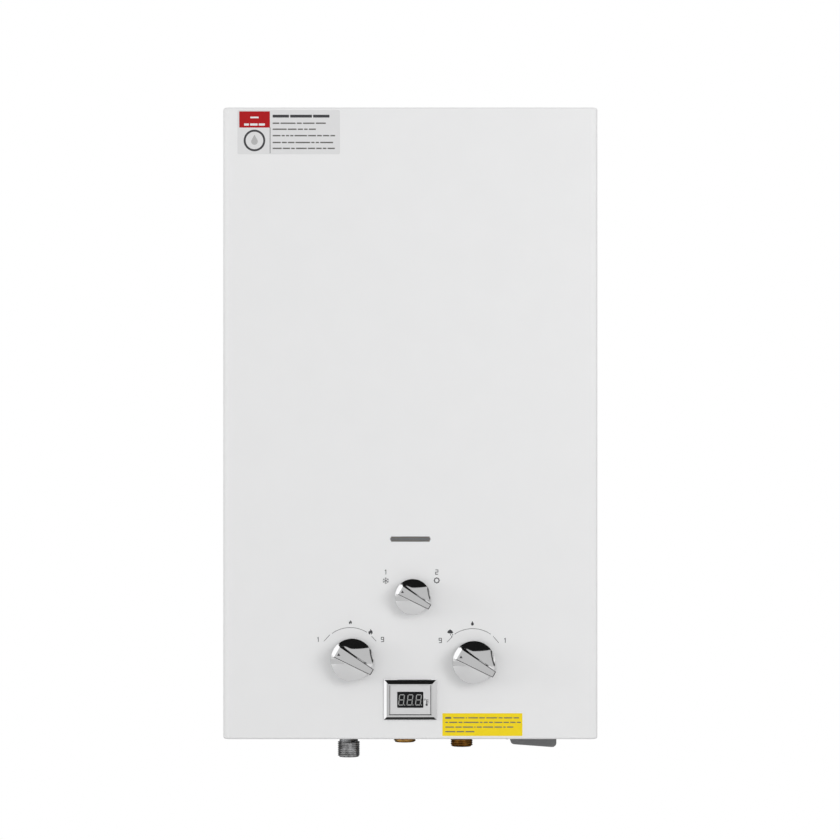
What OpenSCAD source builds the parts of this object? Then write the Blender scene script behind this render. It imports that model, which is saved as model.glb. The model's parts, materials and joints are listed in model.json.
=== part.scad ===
// Wall-hung propane water heater, taken apart into its pieces.
// Millimetres. X to the right, the front faces -Y, the wall is the plane y = 0, Z up.
// The origin is the centre of the four wall screws, on the back plate's rear face.

/* [Casing] */
// Width of the casing over its side walls
casing_w = 350; // [340:1:380]
// Height of the casing over its top and bottom folds
casing_h = 590; // [560:1:640]
// Depth from the wall to the front face
casing_d = 165; // [164:1:190]
// Thickness of the casing and chassis sheet
sheet_t = 1; // [0.8:0.1:1.1]
// Outer radius of the upright front corners
corner_r = 7; // [5:0.5:10]
// Outer radius of the folds along the top and bottom edges
fold_r = 2; // [1.6:0.1:3]
// Width of the folded rim round the cover's top and bottom
rim_w = 14; // [10:1:18]
// Gap where one sheet or piece seats on another
seat_gap = 0.3; // [0.2:0.05:0.4]

/* [Front openings] */
// How far the perforated slot's centre lies above the burner's flame ports
slot_over = 16.9; // [15:0.1:19]
// Distance between neighbouring holes of the perforated slot
perf_pitch = 1.9; // [1.7:0.1:2.2]
// Diameter of each hole of the perforated slot
perf_d = 1.35; // [1:0.05:1.5]
// Number of holes in the middle row of the perforated slot
perf_count = 20; // [12:1:24]
// Length of each air slot in the casing's sides
louvre_l = 60; // [40:1:80]
// Width of each air slot in the casing's sides
louvre_w = 4; // [3:0.5:5]
// Distance between neighbouring air slots
louvre_pitch = 12; // [9:0.5:14]
// Number of air slots in each side
louvre_count = 8; // [4:1:10]
// Height of the lowest air slot above the casing's bottom edge
louvre_low = 60; // [40:1:90]

/* [Wall fixing] */
// Distance between the wall screws across the heater
wall_hole_dx = 180; // [120:1:240]
// Width of each fixing ear
ear_w = 36; // [30:1:50]
// How far the ears reach past the casing
ear_out = 13; // [12:0.5:15]
// Distance from an ear's end to its hole's centre
ear_hole_in = 6.5; // [6:0.5:7]
// Diameter of the wall screw holes
wall_hole_d = 6.5; // [5:0.1:7]
// Depth of the back plate's side folds
plate_fold = 14; // [10:1:18]
// Width of the pressed beads in the back plate
bead_w = 24; // [16:1:30]
// How far the beads stand out from the back plate
bead_h = 3; // [2:0.5:5]
// Length of the pressed beads
bead_l = 420; // [300:5:460]

/* [Fittings] */
// Outer diameter of the three pipe threads
thread_d = 20.955; // [20.9:0.005:21]
// Distance from the wall to the fittings' axes
pipe_off = 90; // [88:0.5:92]
// Position of the gas inlet across the heater
gas_x = -59.1; // [-62:0.1:-57]
// How far the gas inlet reaches below the casing
gas_drop = 23.9; // [20:0.1:30]
// Length of the gas inlet's thread
gas_thread_l = 14.3; // [12:0.1:16]
// Diameter of the gas inlet's neck above its thread
gas_neck_d = 17.5; // [16.5:0.1:19]
// Position of the hot outlet across the heater
hot_x = -5.5; // [-8:0.1:-3]
// How far the hot outlet reaches below the casing
hot_drop = 9.7; // [8:0.1:14]
// Position of the cold inlet across the heater
cold_x = 48.9; // [47:0.1:51]
// How far the cold inlet reaches below the casing
cold_drop = 13.9; // [10:0.1:18]
// How far below the casing the hot and cold threads start
thread_below = 0.5; // [0.3:0.1:1]
// Depth of the relief groove between a water fitting's thread and its flange
relief_depth = 0.9; // [0.5:0.1:1.5]
// Bore of the three fittings
fitting_bore = 13; // [11:0.5:14]
// Distance of each flange screw from its fitting's axis
flange_screw_off = 19; // [18:0.5:21]

/* [Knobs] */
// Diameter of the gas and water knobs
knob_d = 39.5; // [36:0.5:44]
// Height of the gas and water knobs over their grips
knob_h = 21; // [18:0.5:26]
// Height of the rim of the gas and water knobs
knob_rim = 11; // [10:0.5:13]
// Position of the gas knob across the heater
gas_knob_x = -54.1; // [-56:0.1:-52]
// Height of the gas knob above the casing's bottom edge
gas_knob_h = 75; // [74:0.1:77]
// Position of the water knob across the heater
water_knob_x = 59.3; // [57:0.1:61]
// Height of the water knob above the casing's bottom edge
water_knob_h = 72.8; // [71:0.1:75]
// Diameter of the season knob
season_d = 33; // [30:0.5:36]
// Height of the season knob over its grip
season_grip_h = 18; // [16:0.5:22]
// Height of the season knob's rim
season_rim = 9.5; // [8.5:0.5:11]
// Position of the season knob across the heater
season_x = 2.3; // [0:0.1:4]
// Height of the season knob above the casing's bottom edge
season_h = 133.6; // [133:0.1:136]
// Direction of the knobs' pointers at rest, counted from the right
pointer_at = 150; // [120:1:150]
// How far each grip's narrow end reaches past its knob
grip_over = 2; // [1:0.1:3]
// Draft angle of the grips' long sides
grip_draft = 8; // [2:0.5:12]
// Diameter of the gas and water spindles
stem_d = 8; // [7:0.5:9]
// Diameter of the season spindle
small_stem_d = 6; // [5:0.5:6.5]
// Radial running clearance of the spindles and the push rod
run_gap = 0.05; // [0.02:0.01:0.08]
// Gap between the cover and the knobs
knob_gap = 0.8; // [0.5:0.1:1.5]

/* [Display] */
// Position of the display across the heater
display_x = 0; // [-3:0.1:3]
// Height of the display's centre above the casing's bottom edge
display_h = 37.2; // [35:0.1:40]
// Width of the display's bezel
bezel_w = 49.3; // [47:0.1:52]
// Height of the display's bezel
bezel_h = 37.6; // [36:0.1:40]
// How far the bezel stands out from the cover
bezel_out = 4.6; // [3.5:0.1:6]
// Height of the bezel's outer edge, below its slanted faces
bezel_lip = 2.2; // [1:0.1:2.8]
// Width of the bezel's slanted faces, seen from the front
bezel_slope = 3.8; // [3:0.1:4.5]
// Width of the satin panel inside the bezel
panel_w = 37.6; // [36:0.1:38.5]
// Height of the satin panel inside the bezel
panel_h = 27.1; // [26:0.1:28]
// Width of the display window
window_w = 24.4; // [20:0.1:28]
// Height of the display window
window_h = 14.9; // [12:0.1:18]

/* [Battery box] */
// Position of the battery lid's centre across the heater
lid_x = 116.4; // [114:0.1:120]
// Distance from the wall to the battery lid's centre
lid_off = 83; // [80:1:86]
// Width of the battery lid
lid_w = 43.6; // [43:0.1:46]
// Depth of the battery lid from front to back
lid_d = 79.6; // [79:0.1:84]
// How far the lid reaches below the casing at its hinge
lid_drop = 8.9; // [8.5:0.1:12]
// How far the lid reaches below the casing at its free end
lid_drop_free = 11.6; // [11:0.1:16]
// Wall of the lid and of the battery box
lid_wall = 1.6; // [1.2:0.1:1.8]
// Gap between the lid's rim and the battery box
lid_gap = 0.4; // [0.3:0.1:0.6]
// Diameter of the cells
cell_d = 34.2; // [33:0.1:34.2]
// Length of the cells without their caps
cell_l = 59.5; // [58:0.1:60]

/* [Burner] */
// Number of burner blades
blade_count = 10; // [6:1:10]
// Distance between neighbouring blades
blade_pitch = 18.6; // [18:0.1:19]
// Height of the blades' flame ports above the casing's bottom edge
burner_h = 170; // [165:1:172]
// Thickness of each blade's head
blade_t = 12; // [10:0.5:13]
// Outer radius of each blade's mouth
mouth_r = 8.6; // [8:0.1:8.8]
// Outer radius of each blade's throat
throat_r = 6; // [5:0.1:6.5]
// Number of flame ports in each blade
port_count = 11; // [6:1:14]
// Width of each flame port
port_w = 2; // [1.2:0.1:3]
// How far the burner rack's top stands above the flame ports
rack_over = 8; // [7:0.5:10]

/* [Heat exchanger] */
// Width of the combustion shell
ex_w = 196; // [196:1:200]
// Depth of the combustion shell from front to back
ex_d = 98; // [96:1:98]
// Distance from the wall to the combustion shell's centre
ex_off = 87; // [87:0.5:88]
// Height of the combustion shell with the fin block
ex_h = 257; // [250:1:280]
// Corner radius of the combustion shell
ex_r = 12; // [8:0.5:16]
// Number of fins
fin_count = 28; // [16:1:32]
// Thickness of each fin
fin_t = 0.6; // [0.4:0.1:0.8]
// Height of the fins
fin_h = 50; // [40:1:56]
// Outer diameter of the water tubes
tube_d = 12; // [11:0.5:12]
// Wall of the water tubes
tube_wall = 0.8; // [0.6:0.1:1]
// Distance between neighbouring tubes in the fins
tube_pitch = 18; // [18:0.1:18.2]
// Height of the coil's lower turn above the shell's foot
coil_low = 61.7; // [56:0.1:70]
// Distance between the coil's two turns
coil_rise = 70; // [50:1:80]

/* [Gas and water valves] */
// Width and depth of the gas valve's casting
valve_w = 44; // [42:1:46]
// Height of the gas valve's casting
valve_h = 44; // [42:1:46]
// Radius of the diaphragm's housing
diaphragm_r = 30; // [28:0.5:31]
// Thickness of the diaphragm
diaphragm_t = 1.6; // [1.2:0.1:2]
// Diameter of the push rod
rod_d = 5; // [4:0.5:5.5]
// Travel of the push rod
rod_travel = 3; // [2:0.5:3]

/* [Hidden] */
$fn = 64;
pipe_sides = 32;
bend_sides = 24;
eps = 0.01;

// Planes of the casing
front_y = -casing_d;
skin_y = front_y + sheet_t;
cover_rear = -(sheet_t + seat_gap);
rim_seat = sheet_t + seat_gap;
plate_w = casing_w - 2 * rim_seat;
plate_h = casing_h - 2 * rim_seat;
bead_x = 60;
bracket_hw = bead_x - bead_w / 2 - 2;
floor_top = up(rim_seat + sheet_t);
roof_low = casing_h / 2 - rim_seat - sheet_t;
wall_hole_dz = casing_h + 2 * (ear_out - ear_hole_in);
fold_down = 15;
fold_clear = 20;

// Fixing screws
screw_r = 2;
screw_head_r = 3.6;
screw_head_h = 2;
screw_hole_r = 2.15;
cover_screw_in = 8;
cover_screw_z = 200;

// Fittings and valves
pipe_y = -pipe_off;
thread_r = thread_d / 2;
thread_chamfer = 1.2;
relief_r = thread_r - relief_depth;
flange_r = 14;
flange_t = 3;
flange_low = floor_top + seat_gap;
spigot_top = flange_low + flange_t + 12;
floor_hole_r = thread_r + 0.4;
hex_af = 26;
valve_low = up(gas_knob_h - valve_h / 2);
valve_high = up(gas_knob_h + valve_h / 2);
valve_front = pipe_y - valve_w / 2;
valve_right = gas_x + valve_w / 2;
valve_left = gas_x - valve_w / 2;
rod_z = up(gas_knob_h);
rod_r = rod_d / 2;
cavity_r = 12;
bonnet_seat = 3;
bonnet_t = 4;
bonnet_neck = 10;
column_r = 14;
column_low = up(34);
column_high = up(98);
drum_x = 28;
drum_t = 7;
lug_r = 5;
lug_out = diaphragm_r + 2;
outlet_h = 88;
outlet_x = cold_x + 32;
spring_room = 9.4;
disc_t = 2;
cover_depth = disc_t + rod_travel + spring_room;
cup_r = 24;
cup_wall = 2.4;
guide_r = 5;
guide_l = 6;
disc_r = 14;
disc_x = drum_x - diaphragm_t - seat_gap;
collar_x = -8;
collar_r = 5;
collar_t = 3;

// Pipes
tube_r = tube_d / 2;
nut_af = 24;
nut_l = 12;
collar_pipe_r = tube_r + 2.2;
seal_t = 1.5;
pipe_bend = 12;
tight_bend = tube_pitch / 2;

// Combustion stack
rack_h = burner_h + rack_over;
slot_h = burner_h + slot_over;
ex_y = -ex_off;
ex_front = ex_y - ex_d / 2;
ex_rear = ex_y + ex_d / 2;
shell_low = up(rack_h) + seat_gap;
shell_top = shell_low + ex_h;
rack_front = ex_front + 1;
rack_rear = ex_rear - 1;
manifold_z = up(season_h);
rack_low = manifold_z - mouth_r - 5;
manifold_rear = rack_front - 8;
manifold_d = 15;
manifold_hh = 22;
manifold_y = manifold_rear - manifold_d / 2;
manifold_front = manifold_rear - manifold_d;
manifold_l = (blade_count - 1) * blade_pitch + 18;
barrel_r = 12;
barrel_front = manifold_front - 3;
riser_r = 7;
riser_z = up(108);
tube_count = 5;
fin_low = shell_top - fin_h - 5;
tube_z = fin_low + fin_h / 2;
coil_gap = tube_r + seat_gap;
coil_x = ex_w / 2 + coil_gap;
coil_front = ex_front - coil_gap;
coil_rear = ex_rear + coil_gap;
coil_z = shell_low + coil_low;
union_z = up(112);
climb_x = ex_w / 2 + 16;
hot_pipe_x = -(ex_w / 2 + 20);
hot_run_z = up(34);
first_tube_y = tube_y(0);
last_tube_y = tube_y(tube_count - 1);
electrode_x = 50;
electrode_z = up(rack_h + 8);
lead_z = up(rack_h - 13);
shield_low = shell_low + 37.7;
shield_h = 130;
shield_w = 160;
shield_d = 14;
bracket_h = 12;
low_bracket_z = shell_low + 19.7;
high_bracket_z = shell_low + 175.7;
limiter_z = shell_low + 159.7;
window_z = up(slot_h);

// Battery box
lid_y = -lid_off;
box_w = lid_w - 2 * (lid_wall + lid_gap);
box_d = lid_d - 2 * (lid_wall + lid_gap);
box_low = up(-0.45);
box_flange_t = 1.45;
lid_rim = box_low - 0.35;
lid_floor = up(-lid_drop) + lid_wall + 0.4;
cap_h = 2;
cap_r = 4.5;
cell_low = lid_floor + cap_h + seat_gap;
box_top = cell_low + cell_l + cap_h + 4;
hinge_r = 1.25;
knuckle_r = 2.5;
hinge_x = lid_x - lid_w / 2 - knuckle_r - seat_gap;
hinge_z = box_low - knuckle_r;

// Grips: the wide end's distance from the rim, and the long top edges' chamfer
grip_back = 2.1;
grip_edge = 0.5;

// Display
cutout_w = panel_w + 5.6;
cutout_h = panel_h + 5.1;

// Height above the casing's bottom edge, as a z value
function up(v) = v - casing_h / 2;

// Middle of fin tube i, counted from the front
function tube_y(i) = ex_y + (i - (tube_count - 1) / 2) * tube_pitch;

// Middle of burner blade i, counted from the left
function blade_x(i) = (i - (blade_count - 1) / 2) * blade_pitch;

function unit(v) = v / norm(v);

// Matrix that carries the axes onto u, v and w, and the origin to p
function axes_at(u, v, w, p) = [
    [u[0], v[0], w[0], p[0]],
    [u[1], v[1], w[1], p[1]],
    [u[2], v[2], w[2], p[2]],
    [0, 0, 0, 1]
];

// Angle through which a route turns at point i
function turn(route, i) = acos(unit(route[i] - route[i - 1]) * unit(route[i + 1] - route[i]));

// Length that the bend at point i takes from the stretches beside it
function bend_reach(route, bend, i) =
    i == 0 || i == len(route) - 1 ? 0 : bend * tan(turn(route, i) / 2);

// The route with its two end points moved outwards
function longer(route, d) = [
    for (i = [0 : len(route) - 1])
        i == 0 ? route[0] - d * unit(route[1] - route[0])
        : i == len(route) - 1 ? route[i] + d * unit(route[i] - route[i - 1])
        : route[i]
];

// ---- Shapes that several pieces share ----

// Box between two corners
module span(low, high) {
    translate(low) cube(high - low);
}

// Rectangle with round corners, about its centre
module round_rect(w, h, r) {
    square([w - 2 * r, h], center = true);
    square([w, h - 2 * r], center = true);
    for (x = [-1, 1], y = [-1, 1])
        translate([x * (w / 2 - r), y * (h / 2 - r)]) circle(r);
}

// Slot with round ends, about its centre, with its length over the ends
module stadium(l, w) {
    square([l - w, w], center = true);
    for (x = [-1, 1]) translate([x * (l - w) / 2, 0]) circle(d = w);
}

// Hexagonal prism of a width across its flats
module hex(af, h) {
    cylinder(d = af / cos(30), h = h, $fn = 6);
}

// Ring with a bore
module ring(r_out, r_in, h) {
    difference() {
        cylinder(r = r_out, h = h);
        translate([0, 0, -1]) cylinder(r = r_in, h = h + 2);
    }
}

// Puts a piece's +Z towards the front, its X across and its Y up
module facing_front(x, y, z) {
    translate([x, y, z]) rotate([90, 0, 0]) children();
}

// Puts a piece's +Z towards the right
module facing_right(x, y, z) {
    translate([x, y, z]) rotate([0, 90, 0]) children();
}

// Puts a piece's +Z towards the left
module facing_left(x, y, z) {
    translate([x, y, z]) rotate([0, -90, 0]) children();
}

// Screw with a low round head; its shank points to -Z from the head's seat
module screw(l) {
    cylinder(r = screw_head_r, h = screw_head_h);
    translate([0, 0, -l]) cylinder(r = screw_r, h = l + eps);
}

// One straight stretch of a round bar
module stretch(p, q, r) {
    w = unit(q - p);
    helper = abs(w[2]) < 0.9 ? [0, 0, 1] : [1, 0, 0];
    u = unit(cross(helper, w));
    multmatrix(axes_at(u, cross(w, u), w, p)) cylinder(r = r, h = norm(q - p), $fn = pipe_sides);
}

// Round bar along a route, with round bends
module bar(route, bend, r) {
    last = len(route) - 1;
    for (i = [0 : last - 1]) {
        way = unit(route[i + 1] - route[i]);
        stretch(
            route[i] + way * bend_reach(route, bend, i),
            route[i + 1] - way * bend_reach(route, bend, i + 1),
            r
        );
    }
    for (i = [1 : 1 : last - 1]) {
        a = unit(route[i] - route[i - 1]);
        b = unit(route[i + 1] - route[i]);
        centre = route[i] + unit(b - a) * bend / cos(turn(route, i) / 2);
        u = unit(route[i] - a * bend_reach(route, bend, i) - centre);
        multmatrix(axes_at(u, a, cross(u, a), centre))
            rotate_extrude(angle = turn(route, i), $fn = bend_sides)
                translate([bend, 0]) circle(r, $fn = pipe_sides);
    }
}

// Pipe along a route, open at both ends
module pipe(route, bend, r, wall) {
    difference() {
        bar(route, bend, r);
        bar(longer(route, 1), bend, r - wall);
    }
}

// Round bar whose end has one flat, as on a knob's spindle
module d_shaft(r, h, flat_from) {
    difference() {
        cylinder(r = r, h = h);
        translate([r * 0.6, -r, flat_from]) cube([r, 2 * r, h]);
    }
}

// ---- Casing ----

// Plan of the cover, drawn in by inset, open towards the wall at y = rear
module cover_plan(inset, rear) {
    half = casing_w / 2 - inset;
    r = max(corner_r - inset, 1);
    front = front_y + inset;
    translate([-half, front + r]) square([2 * half, rear - front - r]);
    translate([r - half, front]) square([2 * (half - r), 2 * r]);
    for (x = [-1, 1]) translate([x * (half - r), front + r]) circle(r);
}

// Section of the fold between a wall and its rim
module fold_section() {
    intersection() {
        difference() {
            circle(fold_r);
            circle(fold_r - sheet_t);
        }
        square(fold_r);
    }
}

// Folded rim at the top of the cover
module cover_rim() {
    top = casing_h / 2;
    translate([0, 0, top - sheet_t]) linear_extrude(sheet_t) difference() {
        cover_plan(fold_r, cover_rear);
        cover_plan(rim_w, 1);
    }
    translate([casing_w / 2 - corner_r, front_y + fold_r, top - fold_r])
        rotate([90, 0, -90]) linear_extrude(casing_w - 2 * corner_r) fold_section();
    for (side = [0, 1]) mirror([side, 0, 0]) {
        translate([casing_w / 2 - fold_r, cover_rear, top - fold_r])
            rotate([90, 0, 0]) linear_extrude(cover_rear - front_y - corner_r) fold_section();
        translate([casing_w / 2 - corner_r, front_y + corner_r, top - fold_r])
            rotate([0, 0, -90]) rotate_extrude(angle = 90)
                translate([corner_r - fold_r, 0]) fold_section();
    }
}

// Three staggered rows of small holes
module perforation() {
    for (row = [-1, 0, 1]) {
        count = perf_count - abs(row);
        for (i = [0 : count - 1])
            facing_front(
                (i - (count - 1) / 2) * perf_pitch,
                skin_y + 1,
                up(slot_h) + row * perf_pitch * sin(60)
            ) cylinder(d = perf_d, h = sheet_t + 2, $fn = 24);
    }
}

// Air slots through one side wall
module side_louvres() {
    for (i = [0 : louvre_count - 1])
        facing_right(casing_w / 2 - sheet_t - 1, ex_y, up(louvre_low + i * louvre_pitch))
            linear_extrude(sheet_t + 2) rotate(90) stadium(louvre_l, louvre_w);
}

module front_cover() {
    color("white") difference() {
        union() {
            translate([0, 0, fold_r - casing_h / 2]) linear_extrude(casing_h - 2 * fold_r)
                difference() {
                    cover_plan(0, cover_rear);
                    cover_plan(sheet_t, 1);
                }
            cover_rim();
            mirror([0, 0, 1]) cover_rim();
        }
        perforation();
        side_louvres();
        mirror([1, 0, 0]) side_louvres();
        facing_front(gas_knob_x, skin_y + 1, up(gas_knob_h)) cylinder(r = stem_d, h = sheet_t + 2);
        facing_front(water_knob_x, skin_y + 1, up(water_knob_h)) cylinder(r = stem_d, h = sheet_t + 2);
        facing_front(season_x, skin_y + 1, up(season_h)) cylinder(r = small_stem_d, h = sheet_t + 2);
        facing_front(display_x, skin_y + 1, up(display_h))
            linear_extrude(sheet_t + 2) square([cutout_w, cutout_h], center = true);
        for (x = [-1, 1], z = [-1, 1])
            translate([x * casing_w / 2, cover_rear - cover_screw_in, z * cover_screw_z])
                rotate([0, 90, 0]) cylinder(r = screw_hole_r, h = 6, center = true);
    }
}

// Outline of the back plate with its ears
module back_outline() {
    square([plate_w, plate_h], center = true);
    for (x = [-1, 1], z = [-1, 1])
        translate([x * wall_hole_dx / 2, z * (casing_h / 2 + ear_out - ear_w / 2)])
            round_rect(ear_w, ear_w, 6);
}

module back_plate() {
    color("gainsboro") difference() {
        union() {
            facing_front(0, 0, 0) linear_extrude(sheet_t) back_outline();
            for (x = [-1, 1]) {
                facing_front(x * bead_x, 0, 0) linear_extrude(sheet_t + bead_h)
                    rotate(90) stadium(bead_l, bead_w);
                translate([x * (plate_w - sheet_t) / 2, -plate_fold / 2, 0])
                    cube([sheet_t, plate_fold, plate_h - 2 * fold_clear], center = true);
            }
        }
        for (x = [-1, 1]) {
            facing_front(x * bead_x, 1, 0) linear_extrude(bead_h + 1)
                rotate(90) stadium(bead_l - 2 * sheet_t, bead_w - 2 * sheet_t);
            for (z = [-1, 1]) {
                facing_front(x * wall_hole_dx / 2, 1, z * wall_hole_dz / 2)
                    cylinder(d = wall_hole_d, h = sheet_t + 2);
                translate([x * plate_w / 2, cover_rear - cover_screw_in, z * cover_screw_z])
                    rotate([0, 90, 0]) cylinder(r = screw_hole_r, h = 6, center = true);
            }
        }
    }
}

// Chassis plate under the cover's rim: a flat plate with a fold against the back plate
module chassis_plate() {
    translate([0, 0, -sheet_t]) linear_extrude(sheet_t) cover_plan(rim_seat, cover_rear - seat_gap);
    span(
        [-plate_w / 2 + fold_clear, cover_rear - seat_gap - sheet_t, -sheet_t - fold_down],
        [plate_w / 2 - fold_clear, cover_rear - seat_gap, -sheet_t + eps]
    );
}

vent_count = 13;
vent_pitch = 14;
vent_w = 8;
vent_l = 62;
vent_y = -76;

module top_plate() {
    color("gainsboro") difference() {
        translate([0, 0, casing_h / 2 - rim_seat]) chassis_plate();
        for (i = [0 : vent_count - 1])
            translate([(i - (vent_count - 1) / 2) * vent_pitch, vent_y, roof_low - 1])
                linear_extrude(sheet_t + 2) rotate(90) stadium(vent_l, vent_w);
    }
}

module bottom_plate() {
    color("gainsboro") difference() {
        mirror([0, 0, 1]) translate([0, 0, casing_h / 2 - rim_seat]) chassis_plate();
        for (x = [gas_x, hot_x, cold_x]) {
            translate([x, pipe_y, floor_top - sheet_t - 1]) cylinder(r = floor_hole_r, h = sheet_t + 2);
            for (y = [-1, 1])
                translate([x, pipe_y + y * flange_screw_off, floor_top - sheet_t - 1])
                    cylinder(r = screw_hole_r, h = sheet_t + 2);
        }
        translate([lid_x, lid_y, floor_top - sheet_t - 1]) linear_extrude(sheet_t + 2)
            round_rect(box_w + 2 * lid_gap, box_d + 2 * lid_gap, 2 + lid_gap);
        for (i = [0 : 5])
            translate([79 - casing_w / 2 - i * 12, -100, floor_top - sheet_t - 1])
                linear_extrude(sheet_t + 2) rotate(90) stadium(70, 6);
    }
}

module cover_screws() {
    color("silver") for (side = [0, 1], z = [-1, 1]) mirror([side, 0, 0])
        facing_right(casing_w / 2, cover_rear - cover_screw_in, z * cover_screw_z) screw(8);
}

// ---- Combustion ----

// Side outline of the flue hood, drawn in by inset: x is the depth axis and y the height
module hood_side(inset) {
    low = shell_top + seat_gap;
    high = roof_low - seat_gap;
    mouth_front = vent_y - vent_l / 2 - 6;
    mouth_rear = vent_y + vent_l / 2 + 6;
    polygon([
        [ex_front + inset, low - inset], [ex_rear - inset, low - inset],
        [ex_rear - inset, low + 18], [mouth_rear - inset, high - 30],
        [mouth_rear - inset, high + inset], [mouth_front + inset, high + inset],
        [mouth_front + inset, high - 30], [ex_front + inset, low + 18]
    ]);
}

module flue_hood() {
    color("silver") difference() {
        translate([-ex_w / 2, 0, 0]) rotate([90, 0, 90]) linear_extrude(ex_w) hood_side(0);
        translate([sheet_t - ex_w / 2, 0, 0]) rotate([90, 0, 90])
            linear_extrude(ex_w - 2 * sheet_t) hood_side(sheet_t);
    }
}

module combustion_shell() {
    color("peru") difference() {
        union() {
            translate([0, ex_y, shell_low]) linear_extrude(ex_h) round_rect(ex_w, ex_d, ex_r);
            translate([0, ex_y, shell_low]) linear_extrude(sheet_t) round_rect(ex_w, ex_d + 12, 3);
        }
        translate([0, ex_y, shell_low - 1]) linear_extrude(ex_h + 2)
            round_rect(ex_w - 2 * sheet_t, ex_d - 2 * sheet_t, ex_r - sheet_t);
        facing_front(0, ex_front + 5, window_z) linear_extrude(10) stadium(44, 7);
        for (x = [-1, 1])
            facing_front(x * electrode_x, ex_front + 5, electrode_z) cylinder(r = 3.8, h = 10);
        for (i = [0 : tube_count - 1])
            facing_right(-ex_w, tube_y(i), tube_z) cylinder(r = tube_r + run_gap, h = 2 * ex_w);
    }
}

// One fin: a plate with tube holes and scalloped edges
module fin() {
    depth = ex_d - 2 * (sheet_t + seat_gap);
    rotate([90, 0, 90]) linear_extrude(fin_t) difference() {
        translate([ex_y, fin_low + fin_h / 2]) square([depth, fin_h], center = true);
        for (i = [0 : tube_count - 1]) translate([tube_y(i), tube_z]) circle(tube_r + run_gap);
        for (i = [0 : tube_count - 2], z = [fin_low, fin_low + fin_h])
            translate([tube_y(i) + tube_pitch / 2, z]) circle(4);
    }
}

module exchanger_fins() {
    gap = (ex_w - 24) / (fin_count - 1);
    color("peru") for (i = [0 : fin_count - 1])
        translate([(i - (fin_count - 1) / 2) * gap - fin_t / 2, 0, 0]) fin();
}

module exchanger_tubes() {
    reach = ex_w / 2 + 4;
    color("darkgoldenrod") difference() {
        union() {
            for (i = [0 : tube_count - 1])
                facing_right(-reach, tube_y(i), tube_z) cylinder(r = tube_r, h = 2 * reach);
            for (i = [0 : tube_count - 2]) tube_return(i, reach, tube_r);
        }
        for (i = [0 : tube_count - 1])
            facing_right(-reach - (i == tube_count - 1 ? 1 : 0), tube_y(i), tube_z) cylinder(
                r = tube_r - tube_wall,
                h = 2 * reach + (i == 0 || i == tube_count - 1 ? 1 : 0)
            );
        for (i = [0 : tube_count - 2]) tube_return(i, reach, tube_r - tube_wall);
    }
}

// Half turn that joins fin tubes i and i + 1, on the left after the even ones
module tube_return(i, reach, r) {
    side = i % 2 == 0 ? 1 : 0;
    mirror([side, 0, 0]) translate([reach, tube_y(i) + tube_pitch / 2, tube_z])
        rotate([0, 0, -90]) rotate_extrude(angle = 180) translate([tube_pitch / 2, 0]) circle(r);
}

module coil_pipe() {
    upper = coil_z + coil_rise;
    climb_z = upper + 2 * tube_r + 12;
    route = [
        [coil_x, pipe_y, union_z + seal_t],
        [coil_x, pipe_y, coil_z],
        [coil_x, coil_rear, coil_z],
        [-coil_x, coil_rear, coil_z],
        [-coil_x, coil_front, coil_z],
        [coil_x, coil_front, coil_z],
        [coil_x, coil_front, upper],
        [coil_x, coil_rear, upper],
        [-coil_x, coil_rear, upper],
        [-coil_x, coil_front, upper],
        [-coil_x, coil_front, climb_z],
        [climb_x, coil_front, climb_z],
        [climb_x, coil_front, tube_z],
        [climb_x, first_tube_y, tube_z],
        [ex_w / 2 + 4 + seat_gap, first_tube_y, tube_z]
    ];
    color("darkgoldenrod") {
        pipe(route, tight_bend, tube_r, tube_wall);
        translate([coil_x, pipe_y, union_z + seal_t]) ring(collar_pipe_r, tube_r - eps, 2);
    }
}

module exchanger_brackets() {
    color("silver") for (z = [low_bracket_z, high_bracket_z]) difference() {
        span([-bracket_hw, ex_rear + seat_gap, z], [bracket_hw, cover_rear, z + bracket_h]);
        span(
            [-bracket_hw - 1, ex_rear + seat_gap + sheet_t, z + sheet_t],
            [bracket_hw + 1, cover_rear - sheet_t, z + bracket_h + 1]
        );
    }
}

module heat_shield() {
    half = shield_w / 2;
    color("silver") translate([0, 0, shield_low]) linear_extrude(shield_h) {
        translate([-half, -shield_d]) square([shield_w, sheet_t]);
        for (x = [-1, 1]) {
            translate([x * half - sheet_t / 2, -shield_d]) square([sheet_t, shield_d + cover_rear]);
            translate([x * (half + 6) - 6, cover_rear - sheet_t]) square([12, sheet_t]);
        }
    }
}

// Side cheek of the burner rack with its hanger against the back plate
module rack_cheek() {
    top = up(rack_h);
    rotate([90, 0, 90]) linear_extrude(sheet_t) polygon([
        [rack_front, rack_low], [rack_rear - 10, rack_low], [rack_rear, rack_low + 10],
        [cover_rear, rack_low + 22], [cover_rear, rack_low + 40], [rack_rear, top], [rack_front, top]
    ]);
}

module burner_rack() {
    half = ex_w / 2;
    top = up(rack_h);
    color("darkgray") difference() {
        union() {
            translate([-half, 0, 0]) rack_cheek();
            translate([half - sheet_t, 0, 0]) rack_cheek();
            span([-half, rack_front, rack_low], [half, rack_front + sheet_t, top]);
            span([-half, rack_rear - sheet_t, rack_low + 10], [half, rack_rear, top]);
            span([-half, rack_front, top - sheet_t], [half, rack_front + 8, top]);
            span([-half, rack_rear - 8, top - sheet_t], [half, rack_rear, top]);
            for (x = [-1, 1]) translate([x * (half - 6) - 6, cover_rear - sheet_t, rack_low + 22])
                cube([12, sheet_t, 18]);
        }
        for (i = [0 : blade_count - 1])
            facing_front(blade_x(i), rack_front + sheet_t + 1, manifold_z)
                cylinder(r = mouth_r + seat_gap, h = sheet_t + 2);
    }
}

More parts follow.
